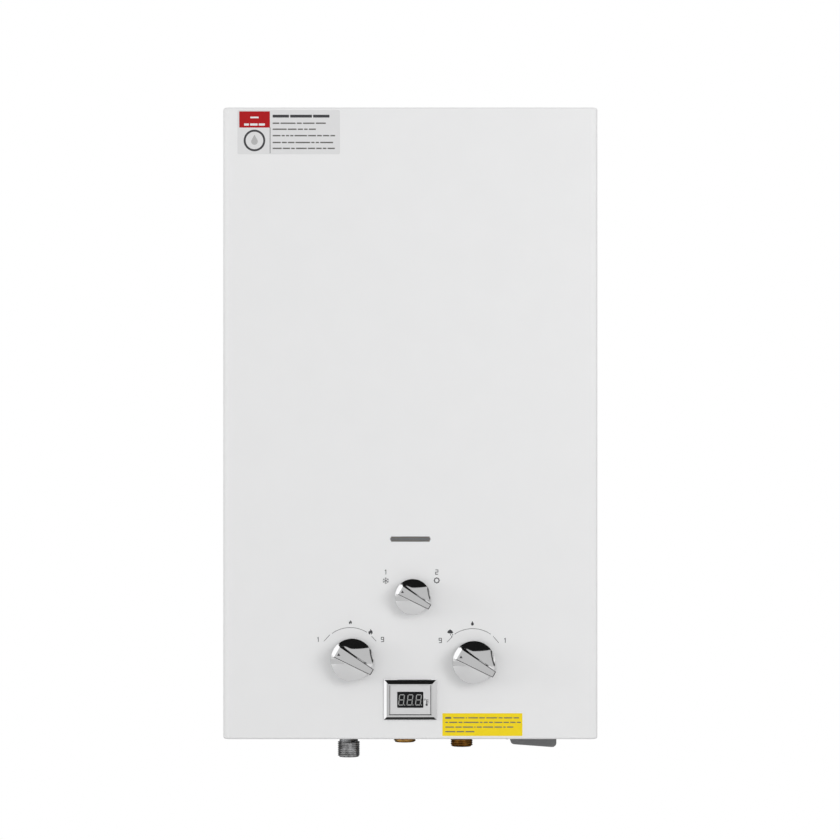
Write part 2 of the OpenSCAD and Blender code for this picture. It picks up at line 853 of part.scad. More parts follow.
// Burner blade about x = 0: mixing tube, web and slotted head
module burner_blade() {
    front = rack_front + sheet_t + seat_gap;
    rear = rack_rear - sheet_t - seat_gap;
    l = rear - front;
    head_low = up(burner_h) - 14;
    wall = 0.8;
    difference() {
        union() {
            // mixing tube, from its flared mouth to its widened end
            facing_front(0, rear - 18, manifold_z) rotate_extrude() polygon(concat(
                [for (s = [0 : 10 : 90])
                    [mouth_r - (mouth_r - throat_r) * sin(s), l - 18 + 4 - 12 * (1 - cos(s))]],
                [[throat_r + 1.5, 6], [throat_r + 1.5, 0], [0, 0], [0, l - 14]]
            ));
            // web that carries the mixture up to the head
            translate([-2.5, 0, 0]) rotate([90, 0, 90]) linear_extrude(5) polygon([
                [front + 14, manifold_z + 2], [rear - 18, manifold_z - 5], [rear - 8, manifold_z - 3],
                [rear, manifold_z + 8], [rear, head_low + 1], [front, head_low + 1], [front, head_low - 4]
            ]);
            // head with sloping shoulders
            translate([0, rear, 0]) rotate([90, 0, 0]) linear_extrude(l) polygon([
                [-2.5, head_low - 3], [2.5, head_low - 3], [blade_t / 2, head_low + 2],
                [blade_t / 2, up(burner_h) - 2], [blade_t / 2 - 2, up(burner_h)],
                [2 - blade_t / 2, up(burner_h)], [-blade_t / 2, up(burner_h) - 2], [-blade_t / 2, head_low + 2]
            ]);
        }
        facing_front(0, rear - 18 - wall, manifold_z) rotate_extrude() polygon(concat(
            [for (s = [0 : 10 : 90])
                [mouth_r - wall - (mouth_r - throat_r) * sin(s), l - 18 + 4 - 12 * (1 - cos(s)) + eps]],
            [[throat_r + 1.5 - wall, 6], [throat_r + 1.5 - wall, 0], [0, 0], [0, l]]
        ));
        for (i = [0 : port_count - 1])
            translate([-3.5, front + (i + 0.5) * l / port_count - port_w / 2, up(burner_h) - 4])
                cube([7, port_w, 6]);
    }
}

module burner_blades() {
    color("slategray") for (i = [0 : blade_count - 1]) translate([blade_x(i), 0, 0]) burner_blade();
}

ceramic_r = 3.5;

module electrode_bracket() {
    color("silver") facing_front(0, ex_front - seat_gap, 0) linear_extrude(sheet_t) difference() {
        translate([0, electrode_z]) square([2 * electrode_x + 20, 11], center = true);
        translate([0, window_z]) square([46, 8], center = true);
        for (x = [-1, 1]) translate([x * electrode_x, electrode_z]) circle(ceramic_r + 0.1);
    }
}

// Ceramic body with its collar, along the depth axis
module ceramic(x) {
    facing_front(x, ex_front + 5, electrode_z) cylinder(r = ceramic_r, h = 22);
    facing_front(x, ex_front - seat_gap - sheet_t - seat_gap, electrode_z) cylinder(r = 5, h = 3);
    facing_front(x, ex_front - 17 + eps, electrode_z) cylinder(r = 1.2, h = 6);
}

module ignition_electrode() {
    color("white") ceramic(electrode_x);
    color("dimgray") bar([
        [electrode_x, ex_front + 5 - eps, electrode_z],
        [electrode_x, ex_front + 20, electrode_z],
        [electrode_x, ex_front + 20, up(burner_h) + 4]
    ], 3, 1);
}

module flame_sensor() {
    color("white") ceramic(-electrode_x);
    color("dimgray") bar([
        [-electrode_x, ex_front + 5 - eps, electrode_z],
        [-electrode_x, ex_front + 30, electrode_z],
        [-electrode_x, ex_front + 30, up(burner_h) + 6]
    ], 3, 1);
}

// ---- Gas ----

module gas_manifold() {
    color("lightgray") difference() {
        union() {
            facing_right(-manifold_l / 2, manifold_y, manifold_z) linear_extrude(manifold_l)
                round_rect(manifold_hh, manifold_d, 4);
            facing_front(season_x, manifold_rear, manifold_z) cylinder(r = barrel_r + 4, h = manifold_d);
            translate([gas_x, manifold_y, manifold_z - manifold_hh / 2 - 5])
                cylinder(r = riser_r + 0.4, h = 8);
        }
        facing_right(-manifold_l / 2 + 4, manifold_y, manifold_z) cylinder(r = 5, h = manifold_l - 8);
        facing_front(season_x, manifold_rear - 2, manifold_z) cylinder(r = barrel_r + seat_gap, h = 30);
        translate([gas_x, manifold_y, manifold_z - 30]) cylinder(r = riser_r - 2, h = 30);
        for (i = [0 : blade_count - 1])
            facing_front(blade_x(i), manifold_rear + 1, manifold_z) cylinder(r = 2.5, h = 6);
    }
}

module injectors() {
    color("gold") for (i = [0 : blade_count - 1]) facing_front(blade_x(i), manifold_rear + 6, manifold_z)
        difference() {
            union() {
                cylinder(r1 = 1.6, r2 = 3, h = 3);
                translate([0, 0, 3 - eps]) hex(8, 3 + eps);
                translate([0, 0, 6 - eps]) cylinder(r = 2.5 - run_gap, h = 3);
            }
            translate([0, 0, -1]) cylinder(r = 0.6, h = 12, $fn = 24);
        }
}

module season_valve() {
    color("lightgray") difference() {
        union() {
            facing_front(season_x, manifold_rear - 3.5, manifold_z)
                cylinder(r = barrel_r, h = manifold_rear - 3.5 - barrel_front);
            facing_front(season_x, manifold_front - seat_gap, manifold_z) cylinder(r = barrel_r + 3, h = 2);
        }
        facing_front(season_x, manifold_rear - 7, manifold_z)
            cylinder(r = small_stem_d / 2 + run_gap, h = 30);
    }
}

module gas_riser() {
    route = [
        [gas_x, pipe_y, valve_high],
        [gas_x, pipe_y, riser_z],
        [gas_x, manifold_y, riser_z],
        [gas_x, manifold_y, manifold_z - manifold_hh / 2 - 5]
    ];
    color("lightgray") difference() {
        union() {
            bar(route, 9, riser_r);
            translate([gas_x, pipe_y, valve_high]) linear_extrude(3) stadium(40, 20);
        }
        bar(longer(route, 1), 9, riser_r - 1.5);
        for (x = [-1, 1]) translate([gas_x + x * 14, pipe_y, valve_high - 1])
            cylinder(r = screw_hole_r, h = 6);
    }
}

module gas_valve_body() {
    mid = (valve_low + valve_high) / 2;
    color("lightgray") difference() {
        union() {
            translate([gas_x, pipe_y, valve_low]) linear_extrude(valve_h) round_rect(valve_w, valve_w, 6);
            facing_front(gas_knob_x, valve_front + eps, rod_z) cylinder(r = 18, h = bonnet_seat);
            facing_right(valve_right - eps, pipe_y, rod_z) cylinder(r = 8, h = 8);
            facing_left(valve_left + eps, pipe_y, mid) cylinder(r = 14, h = 6);
            for (z = [mid - 12, mid, mid + 12])
                translate([gas_x - 16, pipe_y + valve_w / 2 - eps, z - 1]) cube([32, 4, 2]);
        }
        facing_front(gas_knob_x, pipe_y + 15, rod_z) cylinder(r = cavity_r, h = 60);
        facing_right(gas_x, pipe_y, rod_z) cylinder(r = rod_r + run_gap, h = 60);
        translate([gas_x, pipe_y, valve_low - 1]) cylinder(d = fitting_bore, h = valve_h / 2);
        translate([gas_x, pipe_y, mid]) cylinder(r = riser_r - 1.5, h = valve_h);
        for (x = [-1, 1]) translate([gas_x + x * 14, pipe_y, valve_high - 8])
            cylinder(r = screw_r + run_gap, h = 9);
    }
}

module gas_valve_bonnet() {
    seat = valve_front - bonnet_seat + eps;
    color("silver") difference() {
        union() {
            facing_front(gas_knob_x, seat, rod_z) cylinder(r = 18, h = bonnet_t);
            facing_front(gas_knob_x, seat - bonnet_t + eps, rod_z) cylinder(r = 9, h = bonnet_neck);
        }
        facing_front(gas_knob_x, seat + 1, rod_z)
            cylinder(r = stem_d / 2 + run_gap, h = bonnet_t + bonnet_neck + 4);
        for (a = [90, 210, 330])
            facing_front(gas_knob_x + 14 * cos(a), seat + 1, rod_z + 14 * sin(a))
                cylinder(r = screw_hole_r, h = bonnet_t + 2);
    }
}

module solenoid_valve() {
    mid = (valve_low + valve_high) / 2;
    seat = valve_left - 6 + eps;
    color("dimgray") {
        facing_left(seat, pipe_y, mid) cylinder(r = 14, h = 3);
        facing_left(seat - 3 + eps, pipe_y, mid) cylinder(r = 12, h = 26);
        facing_left(seat - 29 + 2 * eps, pipe_y, mid) cylinder(r = 9, h = 3);
        for (y = [-5, 5]) span(
            [seat - 38, pipe_y + y - 2.4, mid - 0.4], [seat - 32 + 3 * eps, pipe_y + y + 2.4, mid + 0.4]
        );
    }
}

// ---- Fittings ----

// Threaded fitting seated on the chassis floor; the height of its top is given
module fitting(x, drop, thread_l, neck_r, top) {
    end = up(-drop);
    thread_top = min(end + thread_l, flange_low);
    difference() {
        union() {
            translate([x, pipe_y, 0]) rotate_extrude() polygon([
                [0, end], [thread_r - thread_chamfer, end], [thread_r, end + thread_chamfer],
                [thread_r, thread_top], [neck_r, thread_top + 0.5], [neck_r, flange_low + eps],
                [0, flange_low + eps]
            ]);
            translate([x, pipe_y, flange_low]) linear_extrude(flange_t) {
                circle(flange_r);
                rotate(90) stadium(2 * flange_screw_off + 10, 10);
            }
            translate([x, pipe_y, flange_low + flange_t - eps]) hex(hex_af, 5);
            translate([x, pipe_y, flange_low + flange_t]) cylinder(r = 9, h = top - flange_low - flange_t);
        }
        translate([x, pipe_y, end - 1]) cylinder(d = fitting_bore, h = top - end + 2);
        for (y = [-1, 1]) translate([x, pipe_y + y * flange_screw_off, flange_low - 1])
            cylinder(r = screw_hole_r, h = flange_t + 2);
    }
}

module gas_inlet_fitting() {
    color("dimgray") union() {
        fitting(gas_x, gas_drop, gas_thread_l, gas_neck_d / 2, valve_low);
        difference() {
            translate([gas_x, pipe_y, valve_low - 5]) linear_extrude(5) round_rect(34, 34, 5);
            translate([gas_x, pipe_y, valve_low - 6]) cylinder(r = 9 - eps, h = 7);
        }
    }
}

module cold_inlet_fitting() {
    color("peru") fitting(cold_x, cold_drop, cold_drop - thread_below, relief_r, column_low);
}

module hot_outlet_fitting() {
    color("goldenrod") fitting(hot_x, hot_drop, hot_drop - thread_below, relief_r, spigot_top);
}

module inlet_filter() {
    r = fitting_bore / 2 - 0.2;
    color("lightsteelblue") translate([cold_x, pipe_y, up(-cold_drop + 3)]) difference() {
        cylinder(r = r, h = 16);
        translate([0, 0, -1]) cylinder(r = r - 0.8, h = 16);
        for (a = [0 : 60 : 359], z = [3 : 3.5 : 12])
            rotate(a) translate([0, 0, z]) rotate([0, 90, 0]) cylinder(r = 1.1, h = 10, $fn = 16);
    }
}

// ---- Water valve and linkage ----

// Round flange with screwed lugs, as on both halves of the diaphragm's housing
module lugged_flange(t) {
    linear_extrude(t) difference() {
        union() {
            circle(diaphragm_r);
            for (a = [30 : 60 : 359]) rotate(a) translate([lug_out, 0]) circle(lug_r);
        }
        for (a = [30 : 60 : 359]) rotate(a) translate([lug_out, 0]) circle(screw_hole_r);
    }
}

module water_valve_body() {
    color("goldenrod") difference() {
        union() {
            translate([cold_x, pipe_y, column_low]) cylinder(r = column_r, h = column_high - column_low);
            facing_right(drum_x, pipe_y, rod_z) lugged_flange(drum_t);
            facing_right(drum_x + drum_t - eps, pipe_y, rod_z) cylinder(r1 = 24, r2 = 15, h = 8);
            facing_front(water_knob_x, pipe_y, up(water_knob_h)) cylinder(r = 13, h = 22);
            facing_right(cold_x, pipe_y, up(outlet_h)) cylinder(r = 9, h = outlet_x - cold_x);
        }
        translate([cold_x, pipe_y, column_low - 1]) cylinder(d = fitting_bore, h = 56);
        facing_right(drum_x - 1, pipe_y, rod_z) cylinder(r = 22, h = 4);
        facing_right(drum_x, pipe_y, rod_z) cylinder(r = 4, h = 22);
        facing_right(cold_x, pipe_y, up(outlet_h)) cylinder(r = tube_r, h = 60);
        facing_front(water_knob_x, pipe_y - 5, up(water_knob_h)) cylinder(r = 8, h = 40);
    }
}

module water_bonnet() {
    mouth_y = pipe_y - 22;
    color("goldenrod") difference() {
        union() {
            facing_front(water_knob_x, mouth_y, up(water_knob_h)) hex(24, 7);
            facing_front(water_knob_x, mouth_y + 8, up(water_knob_h)) cylinder(r = 8 - run_gap, h = 9);
            facing_front(water_knob_x, mouth_y - 7 + eps, up(water_knob_h)) cylinder(r = 7, h = 5);
        }
        facing_front(water_knob_x, mouth_y + 9, up(water_knob_h))
            cylinder(r = stem_d / 2 + run_gap, h = 40);
    }
}

module diaphragm() {
    color("black") facing_left(drum_x, pipe_y, rod_z) rotate_extrude() {
        square([diaphragm_r - 1, diaphragm_t]);
    }
}

module diaphragm_cover() {
    seat = drum_x - diaphragm_t;
    color("goldenrod") difference() {
        union() {
            facing_left(seat, pipe_y, rod_z) lugged_flange(5);
            facing_left(seat - 5 + eps, pipe_y, rod_z) cylinder(r = cup_r, h = cover_depth - 5);
            facing_left(seat - cover_depth + eps, pipe_y, rod_z) cylinder(r = guide_r, h = guide_l);
        }
        facing_left(seat + 1, pipe_y, rod_z) cylinder(r = cup_r - cup_wall, h = cover_depth - cup_wall + 1);
        facing_left(seat + 1, pipe_y, rod_z) cylinder(r = rod_r + run_gap, h = 60);
    }
}

module push_rod() {
    tip = valve_right - 7;
    color("silver") {
        facing_left(disc_x - eps, pipe_y, rod_z) cylinder(r = rod_r, h = disc_x - tip - eps);
        facing_left(disc_x, pipe_y, rod_z) cylinder(r = disc_r, h = disc_t);
        facing_right(collar_x, pipe_y, rod_z) cylinder(r = collar_r, h = collar_t);
    }
}

// ---- Pipes ----

module cold_pipe() {
    route = [
        [outlet_x + seal_t, pipe_y, up(outlet_h)],
        [coil_x, pipe_y, up(outlet_h)],
        [coil_x, pipe_y, union_z]
    ];
    color("darkgoldenrod") {
        pipe(route, pipe_bend, tube_r, tube_wall);
        facing_right(outlet_x + seal_t, pipe_y, up(outlet_h)) ring(collar_pipe_r, tube_r - eps, 2);
        translate([coil_x, pipe_y, union_z - 2]) ring(collar_pipe_r, tube_r - eps, 2);
    }
}

module hot_pipe() {
    end = spigot_top + seal_t;
    route = [
        [-(ex_w / 2 + 4 + seat_gap), last_tube_y, tube_z],
        [hot_pipe_x, last_tube_y, tube_z],
        [hot_pipe_x, last_tube_y, hot_run_z],
        [hot_x, last_tube_y, hot_run_z],
        [hot_x, pipe_y, hot_run_z],
        [hot_x, pipe_y, end]
    ];
    color("darkgoldenrod") {
        pipe(route, tight_bend, tube_r, tube_wall);
        translate([hot_x, pipe_y, end]) ring(collar_pipe_r, tube_r - eps, 2);
    }
}

// Union nut: its wide bore takes the spigot and the collar, its narrow one the pipe
module union_nut() {
    difference() {
        hex(nut_af, nut_l);
        translate([0, 0, -1]) cylinder(r = 9 + run_gap, h = nut_l - 1);
        cylinder(r = tube_r + seat_gap, h = nut_l + 1);
    }
}

module pipe_nuts() {
    top = spigot_top;
    color("goldenrod") {
        translate([hot_x, pipe_y, top - 6]) union_nut();
        facing_right(outlet_x - 6, pipe_y, up(outlet_h)) union_nut();
        difference() {
            translate([coil_x, pipe_y, union_z - 5]) hex(19, nut_l);
            translate([coil_x, pipe_y, union_z - 2 - seat_gap])
                cylinder(r = collar_pipe_r + seat_gap, h = 4 + seal_t + 2 * seat_gap);
            translate([coil_x, pipe_y, union_z - 6]) cylinder(r = tube_r + seat_gap, h = nut_l + 2);
        }
    }
}

module pipe_seals() {
    top = spigot_top;
    color("dimgray") {
        translate([hot_x, pipe_y, top]) ring(collar_pipe_r, 5, seal_t);
        facing_right(outlet_x, pipe_y, up(outlet_h)) ring(collar_pipe_r, 5, seal_t);
        translate([coil_x, pipe_y, union_z]) ring(collar_pipe_r, 5, seal_t);
    }
}

module valve_screws() {
    seat = valve_front - bonnet_seat + eps - bonnet_t;
    color("silver") {
        for (x = [gas_x, hot_x, cold_x], y = [-1, 1])
            translate([x, pipe_y + y * flange_screw_off, flange_low + flange_t]) screw(6);
        for (a = [30 : 60 : 359])
            facing_left(drum_x - diaphragm_t - 5, pipe_y, rod_z) rotate(a) translate([lug_out, 0, 0])
                screw(5 + diaphragm_t + drum_t);
        for (x = [-1, 1]) translate([gas_x + x * 14, pipe_y, valve_high + 3]) screw(9);
    }
}

// ---- Electrical ----

controller_left = coil_x + tube_r + 6.7;
controller_right = casing_w / 2 - 10;
controller_w = controller_right - controller_left;
controller_x = (controller_left + controller_right) / 2;
controller_low = up(rack_h + 2);
controller_h = 95;
controller_d = 30;

module ignition_controller() {
    color("black") {
        translate([controller_x, cover_rear - controller_d / 2 - 2, controller_low])
            linear_extrude(controller_h) round_rect(controller_w, controller_d, 3);
        for (z = [controller_low - 8, controller_low + controller_h - 4])
            span([controller_x - 8, cover_rear - 3, z], [controller_x + 8, cover_rear, z + 12]);
        for (x = [-14, 4]) span(
            [controller_x + x, cover_rear - 24, controller_low - 6],
            [controller_x + x + 12, cover_rear - 12, controller_low + eps]
        );
    }
}

switch_x = -32;
switch_l = 20;
switch_low = up(gas_knob_h + 8);
switch_high = up(gas_knob_h + 22);

module micro_switch() {
    color("black") {
        span([switch_x, pipe_y - 3.2, switch_low], [switch_x + switch_l, pipe_y + 3.2, switch_high]);
        for (x = [3, 10, 17]) span(
            [switch_x + x - 0.4, pipe_y - 1.6, switch_high - eps],
            [switch_x + x + 0.4, pipe_y + 1.6, switch_high + 4]
        );
    }
}

module switch_bracket() {
    color("silver") {
        span(
            [valve_right + seat_gap, pipe_y + 3.5, switch_low],
            [valve_right + seat_gap + sheet_t, pipe_y + 16, switch_high]
        );
        span(
            [valve_right + seat_gap, pipe_y + 3.5, switch_low],
            [switch_x + switch_l - 2, pipe_y + 3.5 + sheet_t, switch_high]
        );
    }
}

lever_x = switch_x + switch_l + 0.8 + seat_gap;
lever_z = switch_high - 1;

module switch_lever() {
    tip_x = collar_x - seat_gap;
    tip_z = rod_z + rod_r + 0.8;
    color("silver") {
        translate([0, pipe_y + 2.5, 0]) rotate([90, 0, 0]) linear_extrude(5) polygon([
            [lever_x - 0.3, lever_z], [lever_x + 0.3, lever_z],
            [tip_x, tip_z], [tip_x - 0.6, tip_z]
        ]);
        facing_front(lever_x, pipe_y + 3, lever_z) cylinder(r = 0.8, h = 6);
    }
}

module overheat_switch() {
    color("black") facing_left(-ex_w / 2 - seat_gap, ex_y, limiter_z) {
        linear_extrude(1.2) stadium(30, 14);
        cylinder(r = 8, h = 8);
        for (x = [-3, 3]) translate([x - 0.4, -2.4, 8 - eps]) cube([0.8, 4.8, 6]);
    }
}

module temperature_sensor() {
    color("silver") translate([hot_pipe_x, last_tube_y, up(200)]) {
        ring(tube_r + 1.6, tube_r + seat_gap / 2, 12);
        translate([0, -tube_r - 4, 1]) cylinder(r = 3, h = 18);
    }
}

module wiring() {
    out_y = cover_rear - 18;
    color("firebrick") {
        bar([
            [controller_x - 8, out_y, controller_low - 6],
            [controller_x - 8, out_y, lead_z],
            [controller_x - 8, skin_y + 5, lead_z],
            [electrode_x, skin_y + 5, lead_z],
            [electrode_x, skin_y + 5, electrode_z - 8]
        ], 4, 1.5);
    }
}

// ---- Battery box ----

// Middle of cell 0 or 1, along the box's depth
function cell_y(i) = lid_y + (i - 0.5) * (cell_d + 1);

module battery_box() {
    inner_w = box_w - 2 * lid_wall;
    inner_d = box_d - 2 * lid_wall;
    color("black") difference() {
        union() {
            translate([lid_x, lid_y, box_low]) linear_extrude(box_top - box_low) round_rect(box_w, box_d, 2);
            translate([lid_x, lid_y, box_low]) linear_extrude(box_flange_t) round_rect(lid_w, lid_d, 2);
            for (y = [-1, 1]) {
                translate([hinge_x, lid_y + y * 24 - 4, box_low - eps])
                    cube([lid_w / 2, 8, box_flange_t + eps]);
                translate([hinge_x, lid_y + y * 24 - 4, hinge_z])
                    rotate([-90, 0, 0]) cylinder(r = knuckle_r, h = 8);
            }
        }
        translate([lid_x, lid_y, box_low - 1]) linear_extrude(box_top - box_low - lid_wall + 1)
            square([inner_w, inner_d], center = true);
        for (y = [-1, 1]) translate([hinge_x, lid_y + y * 24 - 5, hinge_z])
            rotate([-90, 0, 0]) cylinder(r = hinge_r + run_gap, h = 10);
    }
}

module battery_cells() {
    color("steelblue") for (i = [0, 1]) translate([lid_x, cell_y(i), cell_low]) {
        cylinder(d = cell_d, h = cell_l);
        translate([0, 0, i == 1 ? cell_l - eps : -cap_h]) cylinder(r = cap_r, h = cap_h + eps);
    }
}

module battery_contacts() {
    ceiling = box_top - lid_wall;
    color("silver") for (i = [0, 1]) translate([lid_x, cell_y(i), 0]) {
        low = cell_low + cell_l + (i == 1 ? cap_h : 0) + seat_gap;
        translate([0, 0, ceiling - 0.6]) linear_extrude(0.6) round_rect(16, 24, 3);
        translate([0, 0, low]) cylinder(r1 = 3.5, r2 = 6, h = ceiling - 0.6 + eps - low);
    }
}

module battery_lid() {
    low = up(-lid_drop);
    low_free = up(-lid_drop_free);
    x0 = lid_x - lid_w / 2;
    x1 = lid_x + lid_w / 2;
    corner = 4;
    color("dimgray") difference() {
        union() {
            translate([0, lid_y + lid_d / 2, 0]) rotate([90, 0, 0]) linear_extrude(lid_d) {
                polygon([
                    [x0, lid_rim], [x0, low + corner], [x0 + corner, low - 0.1],
                    [x1 - corner, low_free], [x1, low_free + corner], [x1, lid_rim]
                ]);
                translate([x0 + corner, low + corner - 0.1]) circle(corner);
                translate([x1 - corner, low_free + corner]) circle(corner);
            }
            for (y = [-12, 0, 12]) {
                translate([hinge_x, lid_y + y - 3, hinge_z]) rotate([-90, 0, 0])
                    cylinder(r = knuckle_r, h = 6);
                translate([hinge_x, lid_y + y - 3, hinge_z - 1.5])
                    cube([x0 - hinge_x + eps, 6, 3]);
            }
        }
        difference() {
            translate([lid_x, lid_y, lid_floor]) linear_extrude(20)
                square([lid_w - 2 * lid_wall, lid_d - 2 * lid_wall], center = true);
            translate([lid_x, cell_y(1), lid_floor - 1]) cylinder(r = 8, h = cap_h + 1);
        }
        translate([hinge_x, lid_y - 20, hinge_z]) rotate([-90, 0, 0])
            cylinder(r = hinge_r + run_gap, h = 40);
    }
}

module lid_hinge_pin() {
    color("silver") translate([hinge_x, lid_y - 29, hinge_z]) rotate([-90, 0, 0])
        cylinder(r = hinge_r, h = 58);
}

// ---- Display ----

// Frame with slanted faces, standing on z = 0
module bezel_frame() {
    edge = bezel_lip;
    intersection() {
        translate([-bezel_w / 2, 0, 0]) rotate([90, 0, 90]) linear_extrude(bezel_w) polygon([
            [-bezel_h / 2, 0], [bezel_h / 2, 0], [bezel_h / 2, edge],
            [bezel_h / 2 - bezel_slope, bezel_out], [bezel_slope - bezel_h / 2, bezel_out],
            [-bezel_h / 2, edge]
        ]);
        translate([0, bezel_h / 2, 0]) rotate([90, 0, 0]) linear_extrude(bezel_h) polygon([
            [-bezel_w / 2, 0], [bezel_w / 2, 0], [bezel_w / 2, edge],
            [bezel_w / 2 - bezel_slope, bezel_out], [bezel_slope - bezel_w / 2, bezel_out],
            [-bezel_w / 2, edge]
        ]);
    }
}

module display_bezel() {
    color("silver") facing_front(display_x, front_y, up(display_h)) difference() {
        union() {
            bezel_frame();
            translate([0, 0, -8]) linear_extrude(8 + eps)
                square([cutout_w - 2 * seat_gap, cutout_h - 2 * seat_gap], center = true);
        }
        translate([0, 0, -9]) linear_extrude(20)
            square([panel_w + 2 * seat_gap, panel_h + 2 * seat_gap], center = true);
    }
}

module display_panel() {
    color("lightgray") facing_front(display_x, front_y, up(display_h))
        translate([0, 0, bezel_out - 2.4]) linear_extrude(2) difference() {
            square([panel_w, panel_h], center = true);
            round_rect(window_w, window_h, 0.6);
        }
}

module display_window() {
    color("black") facing_front(display_x, front_y, up(display_h))
        translate([0, 0, bezel_out - 2.4 - 1]) {
            translate([0, 0, 1]) linear_extrude(1.6)
                round_rect(window_w - 0.4, window_h - 0.4, 0.5);
            linear_extrude(1 + eps - seat_gap)
                square([window_w + 4, window_h + 4], center = true);
            translate([0, 0, 1 - seat_gap]) linear_extrude(seat_gap + eps)
                round_rect(window_w - 0.4, window_h - 0.4, 0.5);
        }
}

module display_board() {
    color("darkgreen") facing_front(display_x, front_y, up(display_h)) {
        translate([0, 0, -7]) linear_extrude(1.6) square([panel_w - 1, panel_h - 1], center = true);
        translate([0, 0, -5.4 - eps]) linear_extrude(5.4 + bezel_out - 2.4 - 1 - seat_gap)
            square([30, 19], center = true);
        translate([0, 0, -16]) linear_extrude(9 + eps) square([24, 8], center = true);
    }
}

// ---- Knobs ----

// One slanted cut along a grip's side, from a point of its top edge at the wide end
module grip_cut(at, taper, tilt) {
    translate(at) rotate([0, 0, taper]) rotate([tilt, 0, 0]) translate([-100, 0, -40]) cube([140, 20, 80]);
}

// Tapered grip that crosses a knob, pointing to +X; wide and narrow are its top face's widths
module knob_grip(r, h, wide, narrow, bevel) {
    tip = r - grip_back;
    length = tip - bevel + r + grip_over;
    taper = atan((wide - narrow) / 2 / length);
    difference() {
        intersection() {
            translate([-r - grip_over, -wide, 1]) cube([tip + r + grip_over, 2 * wide, h - 1]);
            translate([-grip_over / 2, 0, 1]) cylinder(r = r + grip_over / 2, h = h);
        }
        for (side = [0, 1]) mirror([0, side, 0]) {
            grip_cut([tip - bevel, wide / 2 + grip_edge, h], taper, grip_draft);
            grip_cut([tip - bevel, wide / 2, h], taper, 45);
        }
        translate([tip - bevel, 0, h]) rotate([0, 45, 0]) translate([0, -20, 0]) cube([40, 40, 40]);
        translate([-r - grip_over + 0.8, 0, h]) rotate([0, -45, 0]) translate([-40, -20, 0]) cube(40);
    }
}

// Knob on its back face, facing +Z
module knob(d, h, rim, dome_r, wide, narrow, bevel, bore_r) {
    r = d / 2;
    wall = 1.8;
    hollow = rim - 3;
    difference() {
        union() {
            intersection() {
                cylinder(r = r, h = h);
                translate([0, 0, rim - sqrt(dome_r * dome_r - r * r)]) sphere(dome_r, $fn = 128);
            }
            knob_grip(r, h, wide, narrow, bevel);
        }
        difference() {
            translate([0, 0, -1]) cylinder(r = r - wall, h = hollow + 1);
            translate([0, 0, -2]) cylinder(r = bore_r + 2.5, h = hollow + 4);
            for (a = [45, 135]) rotate(a) translate([-r, -0.6, 1]) cube([2 * r, 1.2, hollow]);
        }
        translate([0, 0, -1]) d_shaft(bore_r, hollow + 2, -1);
    }
}

// Puts a knob on the cover with its pointer at rest
module on_cover(x, h) {
    facing_front(x, front_y - knob_gap, up(h)) rotate(pointer_at) children();
}

// Spindle from inside its valve to inside its knob
module stem(x, h, rear, r, knob_hollow) {
    l = rear - front_y + knob_gap + knob_hollow;
    facing_front(x, rear, up(h)) rotate(pointer_at) d_shaft(r, l, l - 14);
}

module gas_knob() {
    color("silver") on_cover(gas_knob_x, gas_knob_h)
        knob(knob_d, knob_h, knob_rim, 40, 10.2, 5, 1.7, stem_d / 2 + run_gap);
}

module gas_stem() {
    color("gray") {
        stem(gas_knob_x, gas_knob_h, valve_front + 4, stem_d / 2, knob_rim - 2.4);
        facing_front(gas_knob_x, valve_front + 14, rod_z) cylinder(r = cavity_r - 0.5, h = 12);
    }
}

module water_knob() {
    color("silver") on_cover(water_knob_x, water_knob_h)
        knob(knob_d, knob_h, knob_rim, 40, 10.2, 5, 1.7, stem_d / 2 + run_gap);
}

module water_stem() {
    color("gray") stem(water_knob_x, water_knob_h, pipe_y - 9, stem_d / 2, knob_rim - 2.4);
}

module season_knob() {
    color("silver") on_cover(season_x, season_h)
        knob(season_d, season_grip_h, season_rim, 34, 8.2, 3.9, 1.5, small_stem_d / 2 + run_gap);
}

module season_stem() {
    color("gray") stem(season_x, season_h, manifold_rear - 8, small_stem_d / 2, season_rim - 2.4);
}

front_cover();
back_plate();
top_plate();
bottom_plate();
cover_screws();
flue_hood();
combustion_shell();
exchanger_fins();
exchanger_tubes();
coil_pipe();
exchanger_brackets();
heat_shield();
burner_rack();
burner_blades();
electrode_bracket();
ignition_electrode();
flame_sensor();
gas_manifold();
injectors();
season_valve();
gas_riser();
gas_valve_body();
gas_valve_bonnet();
solenoid_valve();
gas_inlet_fitting();
cold_inlet_fitting();
hot_outlet_fitting();
inlet_filter();
water_valve_body();
water_bonnet();
diaphragm();
diaphragm_cover();
push_rod();
cold_pipe();
hot_pipe();
pipe_nuts();
pipe_seals();
valve_screws();
ignition_controller();
micro_switch();
switch_lever();
switch_bracket();
overheat_switch();
temperature_sensor();
wiring();
battery_box();
battery_cells();
battery_contacts();
battery_lid();
lid_hinge_pin();
display_bezel();
display_panel();
display_window();
display_board();
gas_knob();
gas_stem();
water_knob();
water_stem();
season_knob();
season_stem();
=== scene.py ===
import json
import math

import bmesh
import bpy
from mathutils import Matrix, Vector


